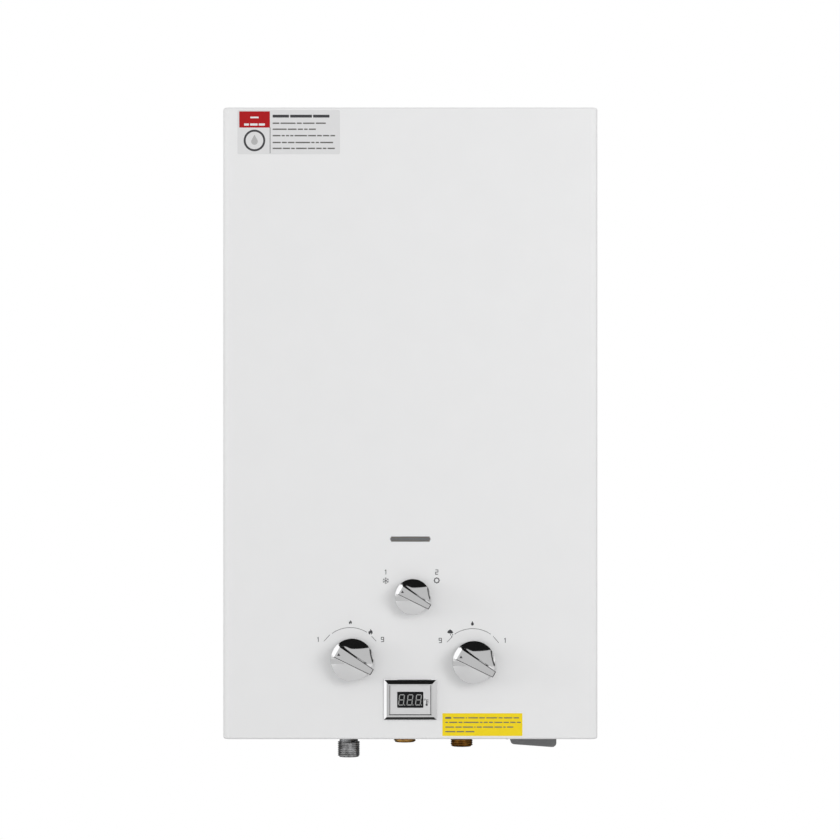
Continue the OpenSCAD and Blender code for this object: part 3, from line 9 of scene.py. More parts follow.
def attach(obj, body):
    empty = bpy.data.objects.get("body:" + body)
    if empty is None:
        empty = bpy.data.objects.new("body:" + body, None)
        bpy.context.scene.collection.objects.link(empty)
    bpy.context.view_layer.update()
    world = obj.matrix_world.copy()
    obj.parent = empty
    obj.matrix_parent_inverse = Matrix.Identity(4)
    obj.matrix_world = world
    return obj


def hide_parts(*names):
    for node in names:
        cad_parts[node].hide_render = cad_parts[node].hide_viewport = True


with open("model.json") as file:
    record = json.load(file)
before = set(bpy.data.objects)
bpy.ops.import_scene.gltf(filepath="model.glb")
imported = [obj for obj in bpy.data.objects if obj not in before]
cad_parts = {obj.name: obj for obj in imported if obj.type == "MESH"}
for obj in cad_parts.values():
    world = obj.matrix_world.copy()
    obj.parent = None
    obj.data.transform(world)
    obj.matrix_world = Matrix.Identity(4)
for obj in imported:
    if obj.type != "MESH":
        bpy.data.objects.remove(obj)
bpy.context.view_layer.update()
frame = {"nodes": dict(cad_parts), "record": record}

NODES = frame["nodes"]
MM = 0.001
HALF_H = 295.0          # half of the casing's height, mm
FACE_Y = -165.0         # the cover's front face, mm
PIPE_Y = -90.0          # the fittings' axes, mm
CAMERA_AT = (0.00906, -3.165, 0.0031)
CAMERA_LENS = 137.7
FLOOR_Z = -0.72
FLOOR_RADIUS = 2.2
WHITE = (1.0, 1.0, 1.0)
EVEN_LIGHT = 0.665      # the world's strength for what it lights
ROOM_LIGHT = 0.61       # and for what metal mirrors of it

scene = bpy.context.scene
scene.view_settings.view_transform = "Standard"


# ---------------------------------------------------------------- stage

def make_camera():
    data = bpy.data.cameras.new("photo_camera")
    data.lens = CAMERA_LENS
    data.sensor_width = 36.0
    data.clip_end = 60.0
    cam = bpy.data.objects.new("photo_camera", data)
    scene.collection.objects.link(cam)
    cam.location = CAMERA_AT
    cam.rotation_euler = (math.pi / 2, 0.0, 0.0)
    scene.camera = cam


def link(tree, a, b):
    tree.links.new(a, b)


def math_node(tree, op, a, b=None, clamp=False):
    n = tree.nodes.new("ShaderNodeMath")
    n.operation = op
    n.use_clamp = clamp
    for i, v in enumerate((a, b)):
        if v is None:
            continue
        if isinstance(v, (int, float)):
            n.inputs[i].default_value = v
        else:
            link(tree, v, n.inputs[i])
    return n.outputs[0]


def ramp_between(tree, value, low, high, start=0.0, end=1.0):
    """From start to end while the value goes from low to high."""
    n = tree.nodes.new("ShaderNodeMapRange")
    n.interpolation_type = "SMOOTHSTEP"
    link(tree, value, n.inputs["Value"])
    n.inputs["From Min"].default_value = low
    n.inputs["From Max"].default_value = high
    n.inputs["To Min"].default_value = start
    n.inputs["To Max"].default_value = end
    return n.outputs["Result"]


def background(tree, color, strength):
    n = tree.nodes.new("ShaderNodeBackground")
    n.inputs["Color"].default_value = (*color, 1.0)
    n.inputs["Strength"].default_value = strength
    return n


def mix_shaders(tree, factor, a, b):
    n = tree.nodes.new("ShaderNodeMixShader")
    link(tree, factor, n.inputs[0])
    link(tree, a, n.inputs[1])
    link(tree, b, n.inputs[2])
    return n.outputs[0]


def make_world():
    """Even light all round, white to the camera, and for what mirrors it a grey room with a dark ceiling."""
    world = bpy.data.worlds.new("studio")
    scene.world = world
    world.use_nodes = True
    tree = world.node_tree
    tree.nodes.clear()
    out = tree.nodes.new("ShaderNodeOutputWorld")
    path = tree.nodes.new("ShaderNodeLightPath")
    coord = tree.nodes.new("ShaderNodeTexCoord")
    split = tree.nodes.new("ShaderNodeSeparateXYZ")
    link(tree, coord.outputs["Generated"], split.inputs[0])
    x, y, z = split.outputs

    def both(a, b):
        return math_node(tree, "MULTIPLY", a, b)

    even = background(tree, WHITE, EVEN_LIGHT)
    white = background(tree, WHITE, 1.0)
    # the ceiling comes down to a slanting edge, lower on the far left, and ends before the side panels
    edge = ramp_between(tree, x, -0.35, 0.0, 0.53, 0.44)
    edge = math_node(tree, "SUBTRACT", edge, ramp_between(tree, x, -0.52, -0.46, 0.31, 0.0))
    ceiling = ramp_between(tree, math_node(tree, "SUBTRACT", z, edge), -0.012, 0.012)
    ceiling = both(ceiling, ramp_between(tree, math_node(tree, "ABSOLUTE", x), 0.72, 0.78, 1.0, 0.0))
    overhead = ramp_between(tree, z, 0.93, 0.96)
    # panels to the left: one above the horizon, and a grey and a white one in the band around it
    left = both(ramp_between(tree, x, -0.62, -0.56, 1.0, 0.0), ramp_between(tree, z, -0.05, 0.05))
    height = math_node(tree, "ABSOLUTE", z)
    horizon = ramp_between(tree, height, 0.10, 0.16, 1.0, 0.0)
    left_outer = both(ramp_between(tree, x, -0.935, -0.915, 1.0, 0.0), horizon)
    left_inner = both(ramp_between(tree, x, -0.90, -0.80, 1.0, 0.0), horizon)
    # to the right a panel with a thin dark seam before it, and a dark band behind the object
    right = both(ramp_between(tree, x, 0.82, 0.835), ramp_between(tree, z, -0.12, -0.02))
    rim = math_node(tree, "ADD", x, math_node(tree, "MULTIPLY", z, 0.18))
    seam = both(both(ramp_between(tree, rim, 0.77, 0.785), ramp_between(tree, rim, 0.815, 0.825, 1.0, 0.0)),
                ramp_between(tree, z, -0.40, -0.32))
    back = both(ramp_between(tree, y, 0.02, 0.18), ramp_between(tree, height, 0.10, 0.18, 1.0, 0.0))
    room = background(tree, WHITE, ROOM_LIGHT).outputs[0]
    panels = (
        (ceiling, 0.010), (left, 1.25), (left_inner, 0.55), (left_outer, 1.2),
        (right, 1.0), (seam, 0.06), (overhead, 1.2), (back, 0.10),
    )
    for mask, strength in panels:
        room = mix_shaders(tree, mask, room, background(tree, WHITE, strength).outputs[0])
    lit = mix_shaders(tree, path.outputs["Is Glossy Ray"], even.outputs[0], room)
    through = math_node(
        tree, "MAXIMUM", path.outputs["Is Camera Ray"], path.outputs["Is Transmission Ray"]
    )
    link(tree, mix_shaders(tree, through, lit, white.outputs[0]), out.inputs["Surface"])


def area_lamp(name, at, size, power):
    data = bpy.data.lights.new(name, "AREA")
    data.shape = "DISK"
    data.size = size
    data.energy = power
    lamp = bpy.data.objects.new(name, data)
    scene.collection.objects.link(lamp)
    lamp.location = at
    lamp.rotation_euler = (-Vector(at)).to_track_quat("-Z", "Y").to_euler()
    lamp.visible_glossy = False
    lamp.visible_camera = False


def make_floor():
    bm = bmesh.new()
    bmesh.ops.create_circle(bm, cap_ends=True, segments=96, radius=FLOOR_RADIUS)
    bmesh.ops.translate(bm, verts=bm.verts, vec=(0.0, 0.0, FLOOR_Z))
    mesh = bpy.data.meshes.new("floor")
    bm.to_mesh(mesh)
    bm.free()
    floor = bpy.data.objects.new("floor", mesh)
    scene.collection.objects.link(floor)
    material = bpy.data.materials.new("floor_pale")
    material.use_nodes = True
    tree = material.node_tree
    tree.nodes.clear()
    out = tree.nodes.new("ShaderNodeOutputMaterial")
    diffuse = tree.nodes.new("ShaderNodeBsdfDiffuse")
    glow = tree.nodes.new("ShaderNodeEmission")
    path = tree.nodes.new("ShaderNodeLightPath")
    # white to the camera; duller for the light it throws back onto the casing, a painted shade on the
    # casing's lower side; and for what mirrors it a painted shadow, dark close under the casing
    spot = tree.nodes.new("ShaderNodeSeparateXYZ")
    link(tree, tree.nodes.new("ShaderNodeTexCoord").outputs["Object"], spot.inputs[0])
    # painted shadow: for glossy rays the floor turns dark from a little in front of the cover backwards,
    # under and behind the casing
    painted_shadow_band = math_node(tree, "MULTIPLY", ramp_between(tree, spot.outputs[1], -0.30, -0.27, 0.09, 0.87),
                     path.outputs["Is Glossy Ray"])
    # painted shade: the floor is duller for the light it bounces onto the casing, so the casing's underside
    # comes out darker
    painted_bounce_shade = math_node(tree, "MULTIPLY", path.outputs["Is Diffuse Ray"], 0.20)
    tone = math_node(tree, "SUBTRACT", math_node(tree, "SUBTRACT", 0.9, painted_shadow_band), painted_bounce_shade, clamp=True)
    link(tree, tone, diffuse.inputs["Color"])
    seen = math_node(tree, "MULTIPLY", path.outputs["Is Camera Ray"], 0.45)
    link(tree, seen, glow.inputs["Strength"])
    both = tree.nodes.new("ShaderNodeAddShader")
    link(tree, diffuse.outputs[0], both.inputs[0])
    link(tree, glow.outputs[0], both.inputs[1])
    link(tree, both.outputs[0], out.inputs["Surface"])
    mesh.materials.append(material)


# ---------------------------------------------------------------- materials

def surface(name, color, rough, metal=0.0, tint=0.04, scale=60.0, stretch=(1, 1, 1), rough_span=0.06,
            bump=0.0, bump_scale=500.0, coat=0.0, cells=0.0, second=None, shine=0.5):
    """A procedural finish whose colour and roughness, and relief if asked, vary in the object's own space."""
    m = bpy.data.materials.new(name)
    m.use_nodes = True
    tree = m.node_tree
    shader = tree.nodes["Principled BSDF"]
    shader.inputs["Metallic"].default_value = metal
    shader.inputs["Specular IOR Level"].default_value = shine
    shader.inputs["Coat Weight"].default_value = coat
    shader.inputs["Coat Roughness"].default_value = 0.08
    coord = tree.nodes.new("ShaderNodeTexCoord")
    mapping = tree.nodes.new("ShaderNodeMapping")
    mapping.inputs["Scale"].default_value = stretch
    link(tree, coord.outputs["Object"], mapping.inputs["Vector"])
    if cells:
        pattern = tree.nodes.new("ShaderNodeTexVoronoi")
        pattern.inputs["Scale"].default_value = cells
        link(tree, mapping.outputs[0], pattern.inputs["Vector"])
        split = tree.nodes.new("ShaderNodeSeparateColor")
        link(tree, pattern.outputs["Color"], split.inputs[0])
        value = split.outputs[0]
    else:
        pattern = tree.nodes.new("ShaderNodeTexNoise")
        pattern.inputs["Scale"].default_value = scale
        pattern.inputs["Detail"].default_value = 5.0
        link(tree, mapping.outputs[0], pattern.inputs["Vector"])
        value = pattern.outputs["Fac"]
    tones = tree.nodes.new("ShaderNodeValToRGB")
    low = [max(0.0, c * (1 - tint)) for c in (second or color)]
    high = [min(1.0, c * (1 + tint)) for c in color]
    tones.color_ramp.elements[0].position = 0.3
    tones.color_ramp.elements[0].color = (*low, 1.0)
    tones.color_ramp.elements[1].position = 0.7
    tones.color_ramp.elements[1].color = (*high, 1.0)
    link(tree, value, tones.inputs[0])
    link(tree, tones.outputs[0], shader.inputs["Base Color"])
    spread = tree.nodes.new("ShaderNodeMapRange")
    spread.inputs["To Min"].default_value = max(0.02, rough - rough_span)
    spread.inputs["To Max"].default_value = min(1.0, rough + rough_span)
    link(tree, value, spread.inputs["Value"])
    link(tree, spread.outputs[0], shader.inputs["Roughness"])
    if bump:
        grain = tree.nodes.new("ShaderNodeTexNoise")
        grain.inputs["Scale"].default_value = bump_scale
        grain.inputs["Detail"].default_value = 2.0
        link(tree, mapping.outputs[0], grain.inputs["Vector"])
        relief = tree.nodes.new("ShaderNodeBump")
        relief.inputs["Strength"].default_value = bump
        relief.inputs["Distance"].default_value = 0.0002
        link(tree, grain.outputs["Fac"], relief.inputs["Height"])
        link(tree, relief.outputs[0], shader.inputs["Normal"])
    return m


def make_materials():
    s = surface
    return {
        "enamel": s("enamel", (0.845, 0.846, 0.849), 0.36, tint=0.006, scale=30, rough_span=0.04,
                    bump=0.05, bump_scale=700),
        "galvanised": s("galvanised", (0.70, 0.71, 0.72), 0.42, 0.9, tint=0.025, cells=90, rough_span=0.03,
                        bump=0.05, bump_scale=300),
        "screw_steel": s("screw_steel", (0.62, 0.63, 0.65), 0.26, 1.0, tint=0.06, scale=800),
        "copper": s("copper", (0.78, 0.45, 0.30), 0.30, 1.0, tint=0.10, scale=45, rough_span=0.12,
                    second=(0.55, 0.29, 0.18), bump=0.03),
        "burner_steel": s("burner_steel", (0.40, 0.39, 0.38), 0.42, 1.0, tint=0.12, scale=120,
                          second=(0.28, 0.25, 0.24)),
        "ceramic": s("ceramic", (0.84, 0.82, 0.76), 0.28, tint=0.02, scale=200, coat=0.3),
        "die_cast": s("die_cast", (0.55, 0.56, 0.57), 0.46, 0.85, tint=0.06, scale=300, bump=0.25,
                      bump_scale=1400),
        "coil_black": s("coil_black", (0.03, 0.03, 0.032), 0.55, tint=0.10, scale=300, bump=0.1),
        "zinc": s("zinc", (0.64, 0.64, 0.645), 0.24, 1.0, tint=0.10, scale=220, rough_span=0.10,
                  second=(0.34, 0.34, 0.34), bump=0.12, bump_scale=900),
        "brass": s("brass", (0.72, 0.47, 0.16), 0.30, 0.95, tint=0.08, scale=240, rough_span=0.10,
                   second=(0.52, 0.31, 0.09), bump=0.06, bump_scale=1200),
        "aged_brass": s("aged_brass", (0.42, 0.21, 0.040), 0.34, 0.85, tint=0.14, scale=260,
                        rough_span=0.12, second=(0.23, 0.10, 0.016), bump=0.1, bump_scale=1200),
        "rubber": s("rubber", (0.025, 0.025, 0.026), 0.62, tint=0.10, scale=400, bump=0.1),
        "stainless": s("stainless", (0.62, 0.63, 0.64), 0.28, 1.0, tint=0.05, scale=500,
                       stretch=(1, 1, 12)),
        "mesh": s("mesh", (0.70, 0.72, 0.75), 0.5, tint=0.05, scale=800),
        "black_plastic": s("black_plastic", (0.022, 0.022, 0.024), 0.48, tint=0.08, scale=300,
                           bump=0.15, bump_scale=2500),
        "grey_plastic": s("grey_plastic", (0.225, 0.227, 0.230), 0.50, tint=0.05, scale=300,
                          bump=0.12, bump_scale=2500),
        "cell_label": s("cell_label", (0.05, 0.12, 0.30), 0.25, tint=0.05, scale=90, coat=0.5),
        "chrome": s("chrome", (0.80, 0.80, 0.805), 0.05, 1.0, tint=0.012, scale=90, rough_span=0.02),
        "silver_panel": s("silver_panel", (0.75, 0.75, 0.755), 0.40, 0.30, tint=0.025, scale=420,
                          stretch=(0.3, 1, 6), bump=0.03, bump_scale=2000),
        "smoked": s("smoked", (0.006, 0.006, 0.007), 0.12, tint=0.08, scale=60, rough_span=0.03,
                    shine=0.18),
        "board_green": s("board_green", (0.02, 0.14, 0.06), 0.35, tint=0.10, scale=300, coat=0.3),
        "wire_red": s("wire_red", (0.42, 0.035, 0.03), 0.40, tint=0.06, scale=200),
        "ink": s("ink", (0.045, 0.045, 0.05), 0.45, tint=0.05, scale=900),
        "segment": s("segment", (0.36, 0.365, 0.36), 0.38, tint=0.05, scale=900),
        "label_pale": s("label_pale", (0.74, 0.74, 0.745), 0.42, tint=0.01, scale=200, rough_span=0.03),
        "label_white": s("label_white", (0.80, 0.80, 0.80), 0.42, tint=0.01, scale=200, rough_span=0.03),
        "label_grey": s("label_grey", (0.46, 0.46, 0.46), 0.42, tint=0.03, scale=300),
        "label_ink": s("label_ink", (0.13, 0.13, 0.12), 0.45, tint=0.05, scale=900),
        "grille": s("grille", (0.27, 0.275, 0.275), 0.45, tint=0.06, scale=600),
        "label_red": s("label_red", (0.43, 0.005, 0.008), 0.42, tint=0.04, scale=300, shine=0.25),
        "label_yellow": s("label_yellow", (0.92, 0.70, 0.012), 0.42, tint=0.02, scale=200, shine=0.25),
    }


# ---------------------------------------------------------------- meshes

def new_piece(name, verts, faces, material, body="chassis", slot=None, smooth=False, unit=MM):
    """A piece from vertices in millimetres, with its normals turned outwards."""
    mesh = bpy.data.meshes.new(name)
    mesh.from_pydata([tuple(unit * c for c in v) for v in verts], [], faces)
    bm = bmesh.new()
    bm.from_mesh(mesh)
    bmesh.ops.remove_doubles(bm, verts=bm.verts, dist=1e-7)
    bmesh.ops.recalc_face_normals(bm, faces=bm.faces)
    for f in bm.faces:
        f.smooth = smooth
    bm.to_mesh(mesh)
    bm.free()
    mesh.materials.append(MAT[material])
    piece = bpy.data.objects.new(name, mesh)
    scene.collection.objects.link(piece)
    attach(piece, body)
    return piece


def soften(obj, width, segments=2, angle=30.0, weld=False):
    """Rounds the edges of a piece, or of a CAD node whose faces come apart at their edges."""
    if weld:
        w = obj.modifiers.new("weld", "WELD")
        w.merge_threshold = 1e-6
    b = obj.modifiers.new("round", "BEVEL")
    b.width = width * MM
    b.segments = segments
    b.limit_method = "ANGLE"
    b.angle_limit = math.radians(angle)
    b.harden_normals = False
    n = obj.modifiers.new("normals", "WEIGHTED_NORMAL")
    n.keep_sharp = True


class Builder:
    """Gathers vertices and faces, in millimetres in the part's frame."""

    def __init__(self):
        self.verts = []
        self.faces = []

    def add(self, verts, faces):
        base = len(self.verts)
        self.verts += [tuple(v) for v in verts]
        self.faces += [tuple(base + i for i in f) for f in faces]

    def prism(self, outline, place, low, high):
        """A flat outline of (u, v) pairs, raised from low to high and put in the frame by place(u, v, w)."""
        n = len(outline)
        verts = [place(u, v, low) for u, v in outline] + [place(u, v, high) for u, v in outline]
        faces = [tuple(range(n)), tuple(range(2 * n - 1, n - 1, -1))]
        faces += [(i, (i + 1) % n, n + (i + 1) % n, n + i) for i in range(n)]
        self.add(verts, faces)

    def strip(self, left, right, place, low, high, closed=False):
        """A band between two lines of (u, v) points, raised from low to high."""
        n = len(left)
        rows = [[place(u, v, w) for u, v in line] for line, w in
                ((left, low), (right, low), (right, high), (left, high))]
        verts = [p for row in rows for p in row]
        faces = []
        for i in range(n if closed else n - 1):
            j = (i + 1) % n
            for r in range(4):
                s = (r + 1) % 4
                faces.append((r * n + i, r * n + j, s * n + j, s * n + i))
        if not closed:
            faces.append(tuple(r * n for r in range(4)))
            faces.append(tuple(r * n + n - 1 for r in (3, 2, 1, 0)))
        self.add(verts, faces)

    def piece(self, name, material, **options):
        return new_piece(name, self.verts, self.faces, material, **options)


def on_face(lift=0.0):
    """Places (x, height above the casing's bottom edge, distance in front of the cover)."""
    return lambda u, v, w: (u, FACE_Y - lift - w, v - HALF_H)


def arc_points(cx, cy, r, start, end, count):
    """Points on an arc, with angles in degrees from straight up, clockwise."""
    angles = [math.radians(start + (end - start) * i / (count - 1)) for i in range(count)]
    return [(cx + r * math.sin(a), cy + r * math.cos(a)) for a in angles]


def rounded(cx, cy, w, h, r, steps=5):
    """The outline of a rectangle with rounded corners."""
    points = []
    for sx, sy, start in ((1, 1, 0), (1, -1, 90), (-1, -1, 180), (-1, 1, 270)):
        points += arc_points(cx + sx * (w / 2 - r), cy + sy * (h / 2 - r), r, start, start + 90, steps)
    return points


def line_box(x0, y0, x1, y1, width):
    """The outline of a straight line of some width."""
    d = Vector((x1 - x0, y1 - y0)).normalized() * width / 2
    return [(x0 - d.y, y0 + d.x), (x1 - d.y, y1 + d.x), (x1 + d.y, y1 - d.x), (x0 + d.y, y0 - d.x)]


# ---------------------------------------------------------------- prints and labels

PRINT_T = 0.04
LINE_W = 0.62


def dial_number(b, cx, cy, number, h=4.1):
    """A plain stroke number."""
    w = h * 0.55
    strokes = {
        1: [((-0.30, 0.30), (0.05, 0.5)), ((0.05, 0.5), (0.05, -0.5))],
        2: [((-0.5, 0.5), (0.5, 0.5)), ((0.5, 0.5), (0.5, 0.0)), ((0.5, 0.0), (-0.5, 0.0)),
            ((-0.5, 0.0), (-0.5, -0.5)), ((-0.5, -0.5), (0.5, -0.5))],
        9: [((0.5, 0.0), (-0.5, 0.0)), ((-0.5, 0.0), (-0.5, 0.5)), ((-0.5, 0.5), (0.5, 0.5)),
            ((0.5, 0.5), (0.5, -0.5)), ((0.5, -0.5), (-0.5, -0.5))],
    }[number]
    for i, ((x0, y0), (x1, y1)) in enumerate(strokes):
        e = 0.2 * LINE_W
        dx, dy = (e if x1 > x0 else -e if x1 < x0 else 0), (e if y1 > y0 else -e if y1 < y0 else 0)
        b.prism(
            line_box(cx + x0 * w - dx, cy + y0 * h - dy, cx + x1 * w + dx, cy + y1 * h + dy, LINE_W),
            on_face(), 0.0, PRINT_T + 0.002 * i,
        )


def flame_outline(cx, cy, s):
    shape = [(0.05, 1.0), (0.22, 0.62), (0.55, 0.35), (0.72, -0.05), (0.70, -0.50), (0.42, -0.86),
             (0.16, -0.98), (0.30, -0.62), (0.10, -0.30), (-0.06, -0.62), (-0.16, -0.98),
             (-0.48, -0.84), (-0.70, -0.48), (-0.66, -0.02), (-0.36, 0.34), (-0.22, 0.10), (-0.12, 0.50)]
    return [(cx + x * s, cy + y * s) for x, y in shape]


def drop_outline(cx, cy, s):
    points = [(cx, cy + s)]
    r = 0.62 * s
    points += [(cx + r * math.sin(math.radians(a)), cy - 0.3 * s - r * math.cos(math.radians(a)))
               for a in range(110, -111, -20)]
    return points


def make_prints():
    b = Builder()
    place = on_face()
    dials = (
        (-56.0, 75.2, 29.1, -36, 32, ((-80.6, 91.6, -75.1, 97.5), (-36.1, 96.2, -31.9, 91.6))),
        (58.2, 73.2, 30.1, -34, 34, ((34.3, 90.7, 39.1, 95.6), (77.3, 96.2, 82.6, 90.0))),
    )
    for cx, cy, r, start, end, ticks in dials:
        b.strip(arc_points(cx, cy, r - 0.22, start, end, 40), arc_points(cx, cy, r + 0.22, start, end, 40),
                place, 0.0, PRINT_T)
        for tick in ticks:
            b.prism(line_box(*tick, 0.45), place, 0.0, PRINT_T)
    # flame and shower pictograms by the dials
    b.prism(flame_outline(-37.2, 100.4, 2.75), place, 0.0, PRINT_T)
    rose = [(34.5, 99.4), (35.1, 101.2), (37.2, 102.6), (39.2, 101.2), (40.1, 99.2), (38.6, 98.7),
            (36.2, 98.8)]
    b.prism(rose, place, 0.0, PRINT_T)
    for x, y in ((37.6, 97.6), (38.7, 96.2), (39.6, 97.6)):
        b.prism(arc_points(x, y, 0.55, 0, 324, 10), place, 0.0, PRINT_T)
    # a flame and a drop over the arcs
    b.prism(flame_outline(-56.0, 109.4, 2.0), place, 0.0, PRINT_T)
    b.prism(drop_outline(58.0, 108.2, 2.2), place, 0.0, PRINT_T)
    for x, h, number in ((-86.0, 93.2, 1), (-26.0, 93.2, 9), (28.0, 92.3, 9), (88.6, 92.3, 1),
                         (-22.9, 156.1, 1), (24.7, 156.1, 2)):
        dial_number(b, x, h, number)
    # snowflake
    for i in range(6):
        a = math.radians(60 * i + 30)
        c, s = math.cos(a), math.sin(a)
        b.prism(line_box(-22.9, 148.1, -22.9 + 2.9 * c, 148.1 + 2.9 * s, 0.5),
                place, 0.0, PRINT_T + 0.001 * i)
        for turn in (1.0, -1.0):
            x, y = -22.9 + 1.95 * c, 148.1 + 1.95 * s
            b.prism(line_box(x, y, x + 1.05 * math.cos(a + turn), y + 1.05 * math.sin(a + turn), 0.42),
                    place, 0.0, PRINT_T + 0.008 + 0.001 * i)
    # sun ring with short rays
    b.strip(arc_points(24.7, 148.3, 1.75, 0, 345, 24), arc_points(24.7, 148.3, 2.6, 0, 345, 24),
            place, 0.0, PRINT_T, closed=True)
    for i in range(8):
        a = math.radians(45 * i)
        b.prism(line_box(24.7 + 2.45 * math.cos(a), 148.3 + 2.45 * math.sin(a),
                         24.7 + 2.95 * math.cos(a), 148.3 + 2.95 * math.sin(a), 0.5), place, 0.0, PRINT_T)
    b.piece("control_prints", "ink", slot="enamel")


LABEL_T = 0.08
LABEL_INK_T = 0.03


def word_bars(b, place, start, end, h, thick, words):
    """A line of plain bars in place of words, each as long as a share of the line."""
    gap = 1.1
    unit = (end - start - gap * (len(words) - 1)) / sum(words)
    x = start
    for share in words:
        corner = min(0.3, thick / 3)
        b.prism(rounded(x + share * unit / 2, h, share * unit, thick, corner, 3), place, 0.0, LABEL_INK_T)
        x += share * unit + gap


def make_labels():
    sheet = Builder()
    sheet.prism(rounded(-113.5, 566.9, 95.7, 41.2, 1.5), on_face(), 0.0, LABEL_T)
    sheet.piece("top_label", "label_pale", slot="enamel")
    place = on_face(LABEL_T)
    red = Builder()
    red.prism(rounded(-145.4, 578.7, 28.6, 15.2, 0.4), place, 0.0, LABEL_INK_T)
    red.piece("top_label_block", "label_red", slot="enamel")
    marks = Builder()
    word_bars(marks, on_face(LABEL_T + LABEL_INK_T), -155.2, -135.8, 574.0, 2.0, (4, 6, 5))
    word_bars(marks, on_face(LABEL_T + LABEL_INK_T), -149.4, -141.6, 580.6, 1.5, (1,))
    marks.piece("top_label_block_bars", "label_white", slot="enamel")
    rules = Builder()
    rules.prism(line_box(-130.9, 547.2, -130.9, 571.4, 0.5), place, 0.0, LABEL_INK_T)
    ring = [arc_points(-145.5, 559.1, r, 0, 352.5, 48) for r in (8.2, 10.1)]
    rules.strip(*ring, place, 0.0, LABEL_INK_T, closed=True)
    word_bars(rules, place, -128.5, -75.5, 581.8, 2.6, (6, 8, 6))
    rules.piece("top_label_rules", "ink", slot="enamel")
    drop = Builder()
    drop.prism(drop_outline(-145.5, 559.6, 5.0), place, 0.0, LABEL_INK_T)
    drop.piece("top_label_drop", "label_grey", slot="enamel")
    lines = Builder()
    rows = (
        (575.2, -78.9, (4, 9, 3, 7, 6)),
        (569.6, -88.2, (8, 5, 3, 2, 4)),
        (563.6, -70.2, (5, 2, 2, 2, 8, 5, 3, 4, 3)),
        (557.2, -72.1, (5, 3, 4, 9, 2, 2, 8)),
        (551.7, -70.5, (5, 4, 2, 6, 4, 3, 2, 4)),
    )
    for h, end, words in rows:
        word_bars(lines, place, -128.5, end, h, 1.25, words)
    lines.piece("top_label_bars", "label_ink", slot="enamel")
    tip = Builder()
    tip.prism(rounded(67.3, 13.7, 74.7, 21.2, 0.5), on_face(), 0.0, LABEL_T)
    tip.piece("lower_label", "label_yellow", slot="enamel")
    lines = Builder()
    word_bars(lines, place, 32.6, 38.2, 20.0, 1.7, (1,))
    rows = (
        (20.0, 40.2, 101.6, (8, 1, 7, 4, 8, 3, 6, 4)),
        (15.8, 32.6, 103.2, (2, 6, 3, 11, 2, 3, 3, 6, 4, 4, 3)),
        (11.4, 32.6, 96.2, (7, 5, 8, 1, 4, 8, 6, 2, 5)),
        (7.1, 32.6, 59.9, (8, 6, 7)),
    )
    for h, start, end, words in rows:
        word_bars(lines, place, start, end, h, 1.0, words)
    lines.piece("lower_label_bars", "label_ink", slot="enamel")


def make_grille():
    """The dark web between the slot's three rows of holes, a ring round each."""
    b = Builder()
    place = on_face()
    pitch, middle, web_r, hole_r = 1.9, 186.9, 0.94, 0.69
    for row in (-1, 0, 1):
        count = 20 - abs(row)
        for i in range(count):
            cx, cy = pitch * (i - (count - 1) / 2), middle + row * pitch * math.sin(math.pi / 3)
            ring, hole = [], []
            for k in range(24):
                a = math.radians(15 * k)
                off = (a + math.pi / 6) % (math.pi / 3) - math.pi / 6
                r = web_r / math.cos(off)
                ring.append((cx + r * math.cos(a), cy + r * math.sin(a)))
                hole.append((cx + hole_r * math.cos(a), cy + hole_r * math.sin(a)))
            b.strip(ring, hole, place, 0.0, 0.05, closed=True)
    b.piece("slot_grille", "grille", slot="enamel")


# ---------------------------------------------------------------- display

DISPLAY = (0.0, 37.2)
BEZEL_OUT = 4.6


def frame_rings(b, profile, w, h, cx, cy):
    """A mitred frame: each profile point is (inset from the outline, distance in front of the cover)."""
    rings = []
    for inset, out in profile:
        rings.append([(cx + sx * (w / 2 - inset), FACE_Y - out, cy + sy * (h / 2 - inset) - HALF_H)
                      for sx, sy in ((-1, -1), (1, -1), (1, 1), (-1, 1))])
    n = len(profile)
    verts = [p for ring in rings for p in ring]
    faces = []
    for i in range(n):
        j = (i + 1) % n
        for c in range(4):
            d = (c + 1) % 4
            faces.append((4 * i + c, 4 * i + d, 4 * j + d, 4 * j + c))
    b.add(verts, faces)


